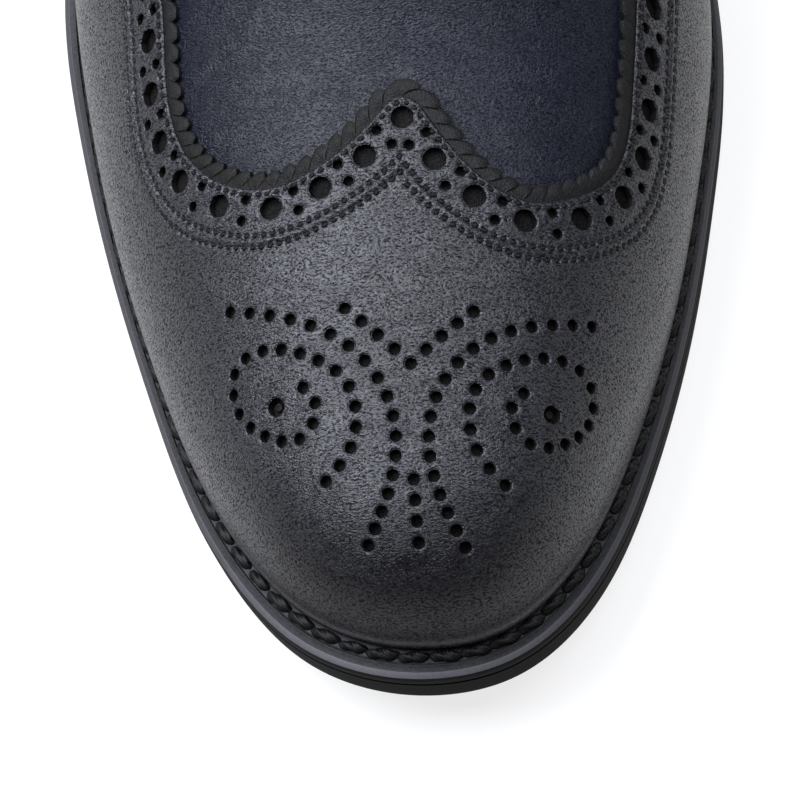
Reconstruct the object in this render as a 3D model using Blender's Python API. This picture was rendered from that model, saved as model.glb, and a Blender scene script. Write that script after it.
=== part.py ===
"""A right shoe, size 42 to 43: a full brogue with a winged toe cap and closed lacing."""

import bmesh
import bpy
import numpy as np
from mathutils import Vector
from mathutils.geometry import delaunay_2d_cdt

# Sizes of the last and sole, in metres
SHOE_LENGTH = 0.304
SHOE_WIDTH = 0.112
HEEL_HEIGHT = 0.026
TOE_SPRING = 0.0113
EDGE_UNDERCUT = 0.0005
OUTSOLE_THICKNESS = 0.006
WELT_THICKNESS = 0.003
WELT_CHAMFER = 0.0008
STITCH_GROOVE = 0.0004
STORM_LIP = 0.0016
LIP_WIDTH = 0.0013
HEEL_LIFT_THICKNESS = 0.006
HEEL_TAPER = 0.0016
BREAST_CURVE = 0.004
INSTEP_HEIGHT = 0.112
FEATHER_MARGIN = 0.0062

# Sizes of the upper, in metres
UPPER_WALL = 0.0020
WING_THICKNESS = 0.0012
HOLES_TO_EDGE = 0.0034
STRIP_WIDTH = 0.0028
STRIP_THICKNESS = 0.0008
THROAT_GAP = 0.0070
RIDGE_FRONT = 0.040
RIDGE_BLEND = 0.022
ANKLE_DIFFERENCE = 0.0015

# Sizes of the insole, tongue and lacing, in metres
INSOLE_THICKNESS = 0.0030
TONGUE_THICKNESS = 0.0026
TONGUE_DROP = 0.0034
TONGUE_REACH = 0.011
TONGUE_HALF_WIDTH = 0.019
TONGUE_SETTLE = 0.005
LACE_WIDTH = 0.0024
EYELET_WIDTH = 0.0048
EYELET_INSET = 0.0085
EYELET_PAIRS = 5
LACE_POINTS = 110
LACE_LIFT = 0.0005
LACE_DIP = 0.0003
LACE_SIDE_STEP = 0.0032
LACE_TURN = 0.0012
LACE_END = 0.0060

# The clearance that all touching pieces keep, in metres
GAP = 0.0003

# Spacing of the corners of the pieces laid on the upper, in metres
WING_STEP = 0.0042
WING_CLEAR = 0.0011
STRIP_STEP = 0.0032
STRIP_CLEAR = 0.0007
SAME_PLACE = 0.0004
FEATHER_LIFT = 0.0005

# Places along the shoe, as shares of its length from the toe tip
SPRING_START = 0.27
TREAD_END = 0.40
BREAST = 0.75
THROAT = 0.372
CORNER = 0.586
CORNER_REACH = 0.11
FIRST_EYELET = 0.405
LAST_EYELET = 0.565
TONGUE_START = 0.335
HEEL_CENTRE = 0.034

# The sole's outline: share of length, share of width (inner side is plus)
OUTLINE = (
    (-0.0012, 0.0626),
    (0.0077, 0.1834),
    (0.0541, 0.3071),
    (0.1241, 0.3844),
    (0.2170, 0.4482),
    (0.3000, 0.4846),
    (0.3720, 0.5021),
    (0.445, 0.483),
    (0.530, 0.422),
    (0.615, 0.368),
    (0.700, 0.354),
    (0.790, 0.366),
    (0.880, 0.360),
    (0.950, 0.292),
    (0.989, 0.165),
    (1.000, 0.040),
    (0.988, -0.088),
    (0.950, -0.212),
    (0.880, -0.284),
    (0.790, -0.306),
    (0.700, -0.330),
    (0.610, -0.382),
    (0.520, -0.462),
    (0.437, -0.500),
    (0.3601, -0.4786),
    (0.2524, -0.4130),
    (0.1804, -0.3540),
    (0.1063, -0.2799),
    (0.0569, -0.2032),
    (0.0219, -0.1151),
)

# The last's ridge: share of length, share of instep height, share of width
RIDGE = (
    (0.100, 0.392, 0.076),
    (0.150, 0.428, 0.072),
    (0.200, 0.450, 0.069),
    (0.260, 0.478, 0.067),
    (0.320, 0.524, 0.066),
    (0.380, 0.605, 0.062),
    (0.460, 0.760, 0.052),
    (0.540, 0.920, 0.040),
    (0.586, 1.000, 0.034),
)

# Each side from the toe tip to the heel's back: share of the way, inner and outer
# share of the feather margin, inner and outer lean at the feather, pull there,
# pull at the top, lean at the top
SIDE = (
    (0.00, 1.00, 1.00, 4, 4, 0.46, 0.40, 0),
    (0.08, 0.86, 0.94, 5, 4, 0.46, 0.40, 0),
    (0.20, 0.68, 0.70, 9, 6, 0.44, 0.40, 0),
    (0.34, 0.58, 0.69, 12, 5, 0.40, 0.38, 0),
    (0.45, 0.58, 0.83, 14, 6, 0.38, 0.31, 8),
    (0.57, 0.60, 0.74, 17, 10, 0.36, 0.26, 16),
    (0.62, 0.60, 0.71, 16, 10, 0.35, 0.29, 36),
    (0.68, 0.60, 0.66, 14, 10, 0.34, 0.33, 60),
    (0.78, 0.58, 0.60, 12, 8, 0.34, 0.36, 77),
    (0.90, 0.57, 0.57, 10, 8, 0.34, 0.36, 82),
    (1.00, 0.56, 0.56, 12, 12, 0.34, 0.36, 82),
)

# The collar from the facing's corner to the back: share of the way, share of
# length, half width as a share of width, share of instep height
COLLAR = (
    (0.00, 0.586, 0.030, 1.000),
    (0.10, 0.612, 0.150, 0.968),
    (0.22, 0.654, 0.245, 0.882),
    (0.36, 0.712, 0.292, 0.775),
    (0.52, 0.788, 0.292, 0.722),
    (0.68, 0.862, 0.268, 0.735),
    (0.82, 0.925, 0.205, 0.782),
    (0.92, 0.966, 0.105, 0.830),
    (1.00, 0.978, 0.000, 0.848),
)

# The wing's row of large holes from its peak back to the feather, on the flattened
# upper: distance from the ridge as a share of width, share of length
INNER_WING = (
    (0.000, 0.272),
    (0.046, 0.248),
    (0.100, 0.229),
    (0.173, 0.219),
    (0.261, 0.227),
    (0.339, 0.248),
    (0.375, 0.274),
    (0.389, 0.302),
    (0.400, 0.329),
    (0.424, 0.372),
    (0.500, 0.446),
    (0.630, 0.520),
    (0.800, 0.590),
    (0.920, 0.625),
)
OUTER_WING = (
    (0.000, 0.272),
    (0.054, 0.253),
    (0.117, 0.239),
    (0.190, 0.232),
    (0.278, 0.240),
    (0.353, 0.261),
    (0.396, 0.289),
    (0.411, 0.317),
    (0.414, 0.346),
    (0.440, 0.400),
    (0.515, 0.465),
    (0.640, 0.530),
    (0.800, 0.600),
    (0.960, 0.660),
)

# The materials: colour and roughness
MATERIALS = {
    "navy_leather": ((0.052, 0.060, 0.090), 0.38),
    "black_leather": ((0.020, 0.020, 0.022), 0.45),
    "lining_leather": ((0.420, 0.330, 0.230), 0.60),
    "black_sole": ((0.018, 0.018, 0.018), 0.50),
    "black_rubber": ((0.015, 0.015, 0.015), 0.70),
    "black_lace": ((0.016, 0.016, 0.018), 0.65),
}


# Curves and steps

def smooth_step(x):
    x = np.clip(x, 0.0, 1.0)
    return x * x * (3.0 - 2.0 * x)


class Curve:
    """A cubic curve through a table's rows, with even slope and bend where they meet."""

    def __init__(self, places, values, closed=False):
        t = np.asarray(places, float)
        v = np.asarray(values, float)
        if closed:
            v = np.vstack([v, v[:1]])
        n = len(t)
        h = np.diff(t)
        matrix = np.zeros((n, n))
        right = np.zeros((n, v.shape[1]))
        for i in range(1, n - 1):
            matrix[i, i - 1] = h[i - 1]
            matrix[i, i] = 2.0 * (h[i - 1] + h[i])
            matrix[i, i + 1] = h[i]
            right[i] = 6.0 * ((v[i + 1] - v[i]) / h[i] - (v[i] - v[i - 1]) / h[i - 1])
        if closed:
            matrix[0, 0] = 2.0 * (h[-1] + h[0])
            matrix[0, 1] = h[0]
            matrix[0, n - 2] = h[-1]
            right[0] = 6.0 * ((v[1] - v[0]) / h[0] - (v[-1] - v[-2]) / h[-1])
            matrix[-1, 0] = 1.0
            matrix[-1, -1] = -1.0
        else:
            matrix[0, 0] = 1.0
            matrix[-1, -1] = 1.0
        self.t = t
        self.v = v
        self.bend = np.linalg.solve(matrix, right)

    def __call__(self, x):
        x = np.asarray(x, float)
        flat = x.reshape(-1)
        i = np.clip(np.searchsorted(self.t, flat) - 1, 0, len(self.t) - 2)
        h = (self.t[i + 1] - self.t[i])[:, None]
        p = (self.t[i + 1] - flat)[:, None]
        q = (flat - self.t[i])[:, None]
        y = (self.bend[i] * p**3 + self.bend[i + 1] * q**3) / (6.0 * h)
        y = y + (self.v[i] / h - self.bend[i] * h / 6.0) * p
        y = y + (self.v[i + 1] / h - self.bend[i + 1] * h / 6.0) * q
        return y.reshape(x.shape + (self.v.shape[1],))


def along(points):
    """Distance along a line of points."""
    steps = np.linalg.norm(np.diff(points, axis=0), axis=1)
    return np.concatenate([[0.0], np.cumsum(steps)])


def unit(v):
    return v / np.maximum(np.linalg.norm(v, axis=-1, keepdims=True), 1e-12)


# The sole's shape

def tread(length):
    """Height of the outsole's underside at a length from the toe tip."""
    share = np.asarray(length, float) / SHOE_LENGTH
    toe = TOE_SPRING * np.clip(1.0 - share / SPRING_START, 0.0, None) ** 2
    waist = HEEL_HEIGHT * smooth_step((share - TREAD_END) / (BREAST - TREAD_END))
    return toe + waist


class Side:
    """One side of the sole from the toe tip to the heel's back, by share of the way."""

    def __init__(self, line, outward):
        distance = along(line)
        self.length = distance[-1]
        self.share = distance / distance[-1]
        self.line = line
        self.outward = unit(outward)

    def edge(self, share, inset=0.0):
        """Plan points (x, length) at an inset from the sole's edge."""
        x = np.interp(share, self.share, self.line[:, 0])
        y = np.interp(share, self.share, self.line[:, 1])
        inset = np.broadcast_to(inset, np.shape(share))
        return np.stack([x, y], -1) - self.normal(share) * inset[..., None]

    def normal(self, share):
        x = np.interp(share, self.share, self.outward[:, 0])
        y = np.interp(share, self.share, self.outward[:, 1])
        return unit(np.stack([x, y], -1))


def two_sides():
    """The inner (+1) and outer (-1) side of the sole."""
    rows = np.array(OUTLINE)[:, ::-1] * (SHOE_WIDTH, SHOE_LENGTH)
    ring = Curve(along(np.vstack([rows, rows[:1]])), rows, closed=True)
    dense = ring(np.linspace(0.0, ring.t[-1], 2000, endpoint=False))
    dense[:, 0] -= 0.5 * (dense[:, 0].max() + dense[:, 0].min())
    dense[:, 0] *= 0.5 * SHOE_WIDTH / dense[:, 0].max()
    dense[:, 1] -= dense[:, 1].min()
    dense[:, 1] *= SHOE_LENGTH / dense[:, 1].max()
    step = np.roll(dense, -1, 0) - np.roll(dense, 1, 0)
    outward = np.stack([step[:, 1], -step[:, 0]], -1)
    toe = int(np.argmin(dense[:, 1]))
    order = np.roll(np.arange(len(dense)), -toe)
    back = int(np.argmax(dense[order, 1]))
    inner = order[: back + 1]
    outer = np.concatenate([order[back:], order[:1]])[::-1]
    return {1: Side(dense[inner], outward[inner]), -1: Side(dense[outer], outward[outer])}


# The upper's shape

class Upper:
    """The upper's outer face in columns from the feather line to the ridge or top edge."""

    def __init__(self, sides):
        self.sides = sides
        rows = np.array(SIDE)
        self.side_rows = Curve(rows[:, 0], rows[:, 1:])
        rows = np.array(RIDGE) * (SHOE_LENGTH, INSTEP_HEIGHT, SHOE_WIDTH)
        self.ridge = Curve(rows[:, 0], rows[:, 1:])
        rows = np.array(COLLAR) * (1.0, SHOE_LENGTH, SHOE_WIDTH, INSTEP_HEIGHT)
        self.collar = Curve(rows[:, 0], rows[:, 1:])
        self.shares = np.linspace(0.0, 1.0, 1601)
        middle = 0.5 * (self.feather(1, self.shares) + self.feather(-1, self.shares))
        ahead = middle[:, 1] - RIDGE_FRONT
        spread = np.sqrt(ahead**2 + RIDGE_BLEND**2)
        self.ridge_length = RIDGE_FRONT + 0.5 * (ahead + spread)
        self.throat = np.interp(THROAT * SHOE_LENGTH, self.ridge_length, self.shares)
        self.corner = np.interp(CORNER * SHOE_LENGTH, self.ridge_length, self.shares)

    def margin(self, side, share):
        column = 0 if side == 1 else 1
        return self.side_rows(share)[..., column] * FEATHER_MARGIN

    def feather(self, side, share):
        """The feather line, level with the top of the storm lip."""
        plan = self.sides[side].edge(share, self.margin(side, share))
        lip = OUTSOLE_THICKNESS + WELT_THICKNESS + STORM_LIP + 2.0 * GAP
        return np.concatenate([plan, (tread(plan[..., 1]) + lip)[..., None]], -1)

    def ridge_point(self, length):
        height, x = np.moveaxis(self.ridge(length), -1, 0)
        return np.stack([x, length, height], -1)

    def top(self, side, share):
        """The ridge, the facing's edge or the collar's top edge."""
        share = np.asarray(share, float)
        length = np.interp(share, self.shares, self.ridge_length)
        ridge = self.ridge_point(length)
        way = (length / SHOE_LENGTH - THROAT) / (CORNER - THROAT)
        half_gap = 0.5 * THROAT_GAP * np.sqrt(np.clip(way, 0.0, 1.0))
        ridge[..., 0] += side * half_gap
        way = np.clip((share - self.corner) / (1.0 - self.corner), 0.0, 1.0)
        length, half, height = np.moveaxis(self.collar(way), -1, 0)
        start = self.ridge(CORNER * SHOE_LENGTH)[..., 1]
        middle = start + (HEEL_CENTRE * SHOE_WIDTH - start) * smooth_step(1.6 * way)
        first = 0.5 * THROAT_GAP - COLLAR[0][2] * SHOE_WIDTH
        half = half + first * np.clip(1.0 - way / COLLAR[1][0], 0.0, 1.0)
        height = height + side * ANKLE_DIFFERENCE * np.sin(np.pi * way)
        collar = np.stack([middle + side * half, length, height], -1)
        return np.where((share > self.corner)[..., None], collar, ridge)

    def soft_top(self, side, share):
        """The top edge with the facing's corner rounded off, which the face below follows."""
        near = smooth_step(1.0 - np.abs(share - self.corner) / CORNER_REACH)
        total = np.zeros(np.shape(share) + (3,))
        for step in np.linspace(-0.5, 0.5, 9):
            total = total + self.top(side, share + step * CORNER_REACH * near)
        return total / 9.0

    def column(self, side, share, way):
        """Points on the columns at the shares, at the ways from feather (0) to top (1)."""
        share = np.asarray(share, float)
        foot = self.feather(side, share)
        top = self.soft_top(side, share)
        rows = np.moveaxis(self.side_rows(share), -1, 0)
        lean = np.radians(rows[2] if side == 1 else rows[3])
        pull, top_pull, top_lean = rows[4:]
        top_lean = np.radians(top_lean)
        chord = np.linalg.norm(top - foot, axis=-1)
        across = self.direction(side, share)
        outward = self.sides[side].normal(share)
        rise = self.ridge(top[..., 1] + 0.0001)[..., 0] - self.ridge(top[..., 1] - 0.0001)[..., 0]
        blend = smooth_step((share - self.throat) / (self.corner - self.throat))
        slope = rise / 0.0002 * (1.0 - blend)
        first = np.concatenate([outward * np.sin(lean)[..., None], np.cos(lean)[..., None]], -1)
        drop = slope * across[..., 1] * np.cos(top_lean) - np.sin(top_lean)
        last = np.concatenate([across * np.cos(top_lean)[..., None], drop[..., None]], -1)
        near_foot = foot + (pull * chord)[..., None] * first
        near_top = top + (top_pull * chord)[..., None] * last
        t = np.asarray(way, float)[..., None]
        s = 1.0 - t
        face = foot * s**3 + near_foot * 3 * s * s * t + near_top * 3 * s * t * t + top * t**3
        return face + (self.top(side, share) - top) * t**5

    def direction(self, side, share):
        """The plan direction from the top towards the feather."""
        share = np.asarray(share, float)
        plan = unit((self.feather(side, share) - self.top(side, share))[..., :2])
        blend = smooth_step((share - self.throat) / (self.corner - self.throat))[..., None]
        return unit(plan * (1.0 - blend) + self.sides[side].normal(share) * blend)


class Sheet:
    """A grid on the upper's face, its normals, and its flattened pattern.

    Index 0 is the inner side and 1 the outer side; columns run from the toe tip to
    the heel's back and rows from the feather line up, evenly by distance.
    """

    def __init__(self, upper, shares, rows):
        self.upper = upper
        self.shares = np.asarray(shares, float)
        count = len(self.shares)
        ways = np.linspace(0.0, 1.0, 4 * rows + 1)
        self.points = np.zeros((2, count, rows + 1, 3))
        self.rise = np.zeros((2, count))
        self.top = np.zeros((2, count, 2))
        self.across = np.zeros((2, count, 2))
        for k, side in enumerate((1, -1)):
            fine = upper.column(side, self.shares[:, None], ways[None, :])
            steps = np.linalg.norm(np.diff(fine, axis=1), axis=2)
            distance = np.concatenate([np.zeros((count, 1)), np.cumsum(steps, axis=1)], 1)
            self.rise[k] = distance[:, -1]
            for i in range(count):
                even = np.linspace(0.0, distance[i, -1], rows + 1)
                for axis in range(3):
                    self.points[k, i, :, axis] = np.interp(even, distance[i], fine[i, :, axis])
            self.top[k] = upper.top(side, self.shares)[:, :2]
            self.across[k] = upper.direction(side, self.shares)
        self.normals = self.face_normals()

    def face_normals(self):
        along_shoe = np.zeros_like(self.points)
        along_shoe[:, 1:-1] = self.points[:, 2:] - self.points[:, :-2]
        along_shoe[:, 0] = (self.points[0, 1] - self.points[1, 1]) * np.array([[[1.0]], [[-1.0]]])
        along_shoe[:, -1] = (self.points[1, -2] - self.points[0, -2]) * np.array([[[1.0]], [[-1.0]]])
        upward = np.gradient(self.points, axis=2)
        normals = unit(np.cross(along_shoe, upward))
        normals[1] *= -1.0
        closed = self.shares <= self.upper.throat + 1e-6
        normals[:, closed, -1] = unit(normals[0, closed, -2] + normals[1, closed, -2])
        return normals

    def pick(self, columns, rows):
        """The same sheet with fewer columns and rows."""
        small = Sheet.__new__(Sheet)
        small.upper = self.upper
        small.shares = self.shares[columns]
        small.points = self.points[:, columns][:, :, rows]
        small.normals = self.normals[:, columns][:, :, rows]
        small.rise = self.rise[:, columns]
        small.top = self.top[:, columns]
        small.across = self.across[:, columns]
        return small

    def flat(self):
        """The grid's places on the flattened pattern."""
        count = self.points.shape[2]
        down = self.rise[:, :, None] * np.linspace(1.0, 0.0, count)
        return self.top[:, :, None] + self.across[:, :, None] * down[..., None]

    def place(self, flat, height):
        """Points on the face, raised by a height, for places on the flattened pattern."""
        flat = np.asarray(flat, float)
        out = np.zeros((len(flat), 3))
        axis = np.interp(flat[:, 1], self.top[0, :, 1], 0.5 * (self.top[0, :, 0] + self.top[1, :, 0]))
        ahead = flat[:, 1] < self.top[0, 0, 1]
        nose = self.top[0, 0] + self.across[0, 0] * ((flat[:, 1] - self.top[0, 0, 1]) / self.across[0, 0, 1])[:, None]
        axis = np.where(ahead, nose[:, 0], axis)
        for k, side in enumerate((1, -1)):
            mine = (flat[:, 0] >= axis) if side == 1 else (flat[:, 0] < axis)
            out[mine] = self.place_side(k, side, flat[mine], height)
        return out

    def place_side(self, k, side, flat, height):
        if not len(flat):
            return np.zeros((0, 3))
        away = flat[:, None, :] - self.top[k][None]
        turn = side * (away[..., 0] * self.across[k][None, :, 1] - away[..., 1] * self.across[k][None, :, 0])
        change = (turn[:, :-1] <= 0.0) & (turn[:, 1:] > 0.0)
        nearest = np.minimum(np.abs(turn).argmin(1), turn.shape[1] - 2)
        column = np.where(change.any(1), change.argmax(1), nearest)
        index = np.arange(len(flat))
        before = turn[index, column]
        after = turn[index, column + 1]
        part = np.clip(-before / np.where(after - before == 0.0, 1.0, after - before), 0.0, 1.0)
        top = self.top[k][column] + (self.top[k][column + 1] - self.top[k][column]) * part[:, None]
        rise = self.rise[k][column] + (self.rise[k][column + 1] - self.rise[k][column]) * part
        down = np.linalg.norm(flat - top, axis=1)
        count = self.points.shape[2] - 1
        row = np.clip((1.0 - down / rise) * count, 0.0, count - 1e-9)
        low = row.astype(int)
        up = (row - low)[:, None]
        part = part[:, None]
        result = np.zeros((len(flat), 3))
        for grid, scale in ((self.points[k], 1.0), (self.normals[k], height)):
            left = grid[column, low] * (1.0 - up) + grid[column, low + 1] * up
            right = grid[column + 1, low] * (1.0 - up) + grid[column + 1, low + 1] * up
            value = left * (1.0 - part) + right * part
            result += scale * (value if scale == 1.0 else unit(value))
        return result


# Making solids

def to_frame(points):
    """From (x, length from the toe, height) to the shoe's frame."""
    points = np.array(points, float)
    points[..., 1] -= 0.5 * SHOE_LENGTH
    return points


def material(name):
    made = bpy.data.materials.get(name)
    if made is None:
        colour, roughness = MATERIALS[name]
        made = bpy.data.materials.new(name)
        made.use_nodes = True
        shader = made.node_tree.nodes["Principled BSDF"]
        shader.inputs["Base Color"].default_value = (*colour, 1.0)
        shader.inputs["Roughness"].default_value = roughness
        made.diffuse_color = (*colour, 1.0)
    return made


def add_solid(name, points, faces, material_name):
    """One closed solid with shared corners and outward faces."""
    mesh = bpy.data.meshes.new(name)
    mesh.from_pydata([tuple(p) for p in to_frame(points)], [], [tuple(f) for f in faces])
    built = bmesh.new()
    built.from_mesh(mesh)
    bmesh.ops.remove_doubles(built, verts=built.verts, dist=0.000002)
    bmesh.ops.recalc_face_normals(built, faces=built.faces)
    if built.calc_volume(signed=True) < 0.0:
        bmesh.ops.reverse_faces(built, faces=built.faces)
    built.to_mesh(mesh)
    built.free()
    mesh.shade_smooth()
    mesh.set_sharp_from_angle(angle=np.radians(38.0))
    thing = bpy.data.objects.new(name, mesh)
    mesh.materials.append(material(material_name))
    bpy.context.scene.collection.objects.link(thing)
    return thing


def thick_sheet(outer, inner, faces):
    """The faces of an outer skin, its inner skin and the rims that join them."""
    count = len(outer)
    edges = {}
    for face in faces:
        for a, b in zip(face, face[1:] + face[:1]):
            edges[(a, b)] = edges.get((a, b), 0) + 1
    solid = list(faces) + [tuple(reversed([i + count for i in face])) for face in faces]
    for a, b in edges:
        if (b, a) not in edges:
            solid.append((b, a, a + count, b + count))
    return np.vstack([outer, inner]), solid


def ring_shares(sides, shares):
    """The order of stations all round the sole: inner side back, outer side forward."""
    inner = [(1, s) for s in shares]
    outer = [(-1, s) for s in shares[1:-1][::-1]]
    return inner + outer


def plate(name, sides, shares, inset, bottom, thickness, material_name):
    """A plate in the sole's outline; bottom is its height above the outsole's underside."""
    points = []
    index = {}
    for level in (bottom, bottom + thickness):
        for side in (1, -1):
            plan = sides[side].edge(shares, inset(side, shares, level))
            height = tread(plan[:, 1]) + level
            for i in range(len(shares)):
                if side == -1 and i in (0, len(shares) - 1):
                    index[(level, side, i)] = index[(level, 1, i)]
                    continue
                index[(level, side, i)] = len(points)
                points.append((plan[i, 0], plan[i, 1], height[i]))
    faces = []
    low, high = bottom, bottom + thickness
    for i in range(len(shares) - 1):
        for level in (low, high):
            corners = [(level, 1, i), (level, 1, i + 1), (level, -1, i + 1), (level, -1, i)]
            face = []
            for corner in corners:
                if index[corner] not in face:
                    face.append(index[corner])
            faces.append(tuple(face))
        for side in (1, -1):
            corners = [(low, side, i), (low, side, i + 1), (high, side, i + 1), (high, side, i)]
            faces.append(tuple(index[corner] for corner in corners))
    return add_solid(name, np.array(points), faces, material_name)


# The pieces of the bottom

def make_outsole(sides, shares):
    def inset(side, share, level):
        return EDGE_UNDERCUT if level == 0.0 else 0.0
    return plate("outsole", sides, shares, inset, 0.0, OUTSOLE_THICKNESS, "black_sole")


def make_insole(sides, shares, upper):
    def inset(side, share, level):
        return upper.margin(side, share) + UPPER_WALL + GAP
    level = OUTSOLE_THICKNESS + GAP
    return plate("insole", sides, shares, inset, level, INSOLE_THICKNESS, "lining_leather")


def make_welt(sides, shares, upper):
    """A ring round the whole sole with a chamfer, a stitch groove and a storm lip."""
    points = []
    for side, share in ring_shares(sides, shares):
        margin = float(upper.margin(side, share))
        lip = WELT_THICKNESS + STORM_LIP
        floor = WELT_THICKNESS - STITCH_GROOVE
        section = (
            (0.0, 0.0),
            (0.0, WELT_THICKNESS - WELT_CHAMFER),
            (WELT_CHAMFER, WELT_THICKNESS),
            (0.36 * margin, WELT_THICKNESS),
            (0.36 * margin + STITCH_GROOVE, floor),
            (margin - LIP_WIDTH - STITCH_GROOVE, floor),
            (margin - LIP_WIDTH, lip),
            (margin - GAP, lip),
            (margin - GAP, 0.0),
        )
        for inset, height in section:
            x, length = sides[side].edge(share, inset)
            points.append((x, length, tread(length) + OUTSOLE_THICKNESS + GAP + height))
    count = 9
    rings = len(points) // count
    faces = []
    for i in range(rings):
        j = (i + 1) % rings
        for a in range(count):
            b = (a + 1) % count
            faces.append((i * count + a, i * count + b, j * count + b, j * count + a))
    return add_solid("welt", np.array(points), faces, "black_sole")


def make_heel(name, sides, shares, levels, insets, material_name):
    """A piece of the heel between two levels, with a curved breast."""
    rear = []
    for side in (1, -1):
        plan = sides[side].edge(shares)
        rear.append(float(np.interp(BREAST * SHOE_LENGTH, plan[:, 1], shares)))
    points = []
    for level, inset in zip(levels, insets):
        ring = []
        for start, side in zip(rear, (1, -1)):
            own = np.concatenate([[start], shares[shares > start + 0.005]])
            line = sides[side].edge(own, inset)
            ring.append(line if side == 1 else line[::-1][1:])
        ring = np.vstack(ring)
        first, last = ring[0], ring[-1]
        for way in np.linspace(0.0, 1.0, 9)[1:-1]:
            bow = BREAST_CURVE * 4.0 * way * (1.0 - way)
            ring = np.vstack([ring, last + (first - last) * way + (0.0, bow)])
        points.append(np.column_stack([ring, np.full(len(ring), level)]))
    count = len(points[0])
    faces = [tuple(range(count))[::-1], tuple(range(count, 2 * count))]
    for a in range(count):
        b = (a + 1) % count
        faces.append((a, b, b + count, a + count))
    return add_solid(name, np.vstack(points), faces, material_name)


# The upper and what lies on it

def upper_faces(sheet, stand):
    """Corner numbers of the upper's grid; one side's columns share the other's where closed."""
    count = len(sheet.shares)
    rows = sheet.points.shape[2]
    closed = int(np.argmin(np.abs(sheet.shares - sheet.upper.throat)))
    points = []
    normals = []
    index = {}
    for k in (0, 1):
        for i in range(count):
            for j in range(-1 if stand else 0, rows):
                shared = k == 1 and (i in (0, count - 1) or (j == rows - 1 and i <= closed))
                if shared:
                    index[(k, i, j)] = index[(0, i, j)]
                    continue
                index[(k, i, j)] = len(points)
                place = sheet.points[k, i, max(j, 0)].copy()
                normal = sheet.normals[k, i, max(j, 0)].copy()
                if j <= 0:
                    side = 1 if k == 0 else -1
                    outward = sheet.upper.sides[side].normal(sheet.shares[i])
                    normal = np.array([*outward, 0.0])
                if j < 0:
                    place[2] = float(tread(place[1])) + OUTSOLE_THICKNESS + GAP
                points.append(place)
                normals.append(normal)
    faces = []
    for k in (0, 1):
        for i in range(count - 1):
            for j in range(-1 if stand else 0, rows - 1):
                corners = [(k, i, j), (k, i + 1, j), (k, i + 1, j + 1), (k, i, j + 1)]
                face = []
                for corner in corners:
                    if index[corner] not in face:
                        face.append(index[corner])
                faces.append(tuple(face if k == 0 else face[::-1]))
    return np.array(points), np.array(normals), faces


def eyelet_places(upper):
    """Length from the toe of each pair of eyelets."""
    return np.linspace(FIRST_EYELET, LAST_EYELET, EYELET_PAIRS) * SHOE_LENGTH


def face_frame(sheet, side, length, inset):
    """A point on the facing at an inset from its edge, and the face's normal there."""
    k = 0 if side == 1 else 1
    share = np.interp(length, sheet.upper.ridge_length, sheet.upper.shares)
    column = np.interp(share, sheet.shares, np.arange(len(sheet.shares)))
    left = int(column)
    part = column - left
    rise = sheet.rise[k, left] * (1 - part) + sheet.rise[k, left + 1] * part
    count = sheet.points.shape[2] - 1
    row = np.clip((1.0 - inset / rise) * count, 0.0, count - 1e-6)
    low = int(row)
    up = row - low
    values = []
    for grid in (sheet.points[k], sheet.normals[k]):
        a = grid[left, low] * (1 - up) + grid[left, low + 1] * up
        b = grid[left + 1, low] * (1 - up) + grid[left + 1, low + 1] * up
        values.append(a * (1 - part) + b * part)
    return values[0], unit(values[1])


def make_upper(sheet, dense):
    """The hollow shoe wall, open at the throat, the collar and underneath."""
    outer, normals, faces = upper_faces(sheet, True)
    points, solid = thick_sheet(outer, outer - normals * UPPER_WALL, faces)
    shoe = add_solid("upper", points, solid, "navy_leather")
    cutter = bmesh.new()
    for length in eyelet_places(sheet.upper):
        for side in (1, -1):
            place, normal = face_frame(dense, side, length, EYELET_INSET)
            place = to_frame(place) - normal * (0.5 * UPPER_WALL)
            turn = Vector(normal).to_track_quat("Z", "Y").to_matrix().to_4x4()
            turn.translation = Vector(place)
            bmesh.ops.create_cone(
                cutter,
                cap_ends=True,
                segments=12,
                radius1=0.5 * EYELET_WIDTH,
                radius2=0.5 * EYELET_WIDTH,
                depth=3.0 * UPPER_WALL,
                matrix=turn,
            )
    mesh = bpy.data.meshes.new("eyelet_cutter")
    cutter.to_mesh(mesh)
    cutter.free()
    tool = bpy.data.objects.new("eyelet_cutter", mesh)
    tool.hide_render = True
    tool.display_type = "WIRE"
    bpy.context.scene.collection.objects.link(tool)
    cut = shoe.modifiers.new("eyelets", "BOOLEAN")
    cut.operation = "DIFFERENCE"
    cut.solver = "EXACT"
    cut.object = tool
    return shoe


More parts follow.
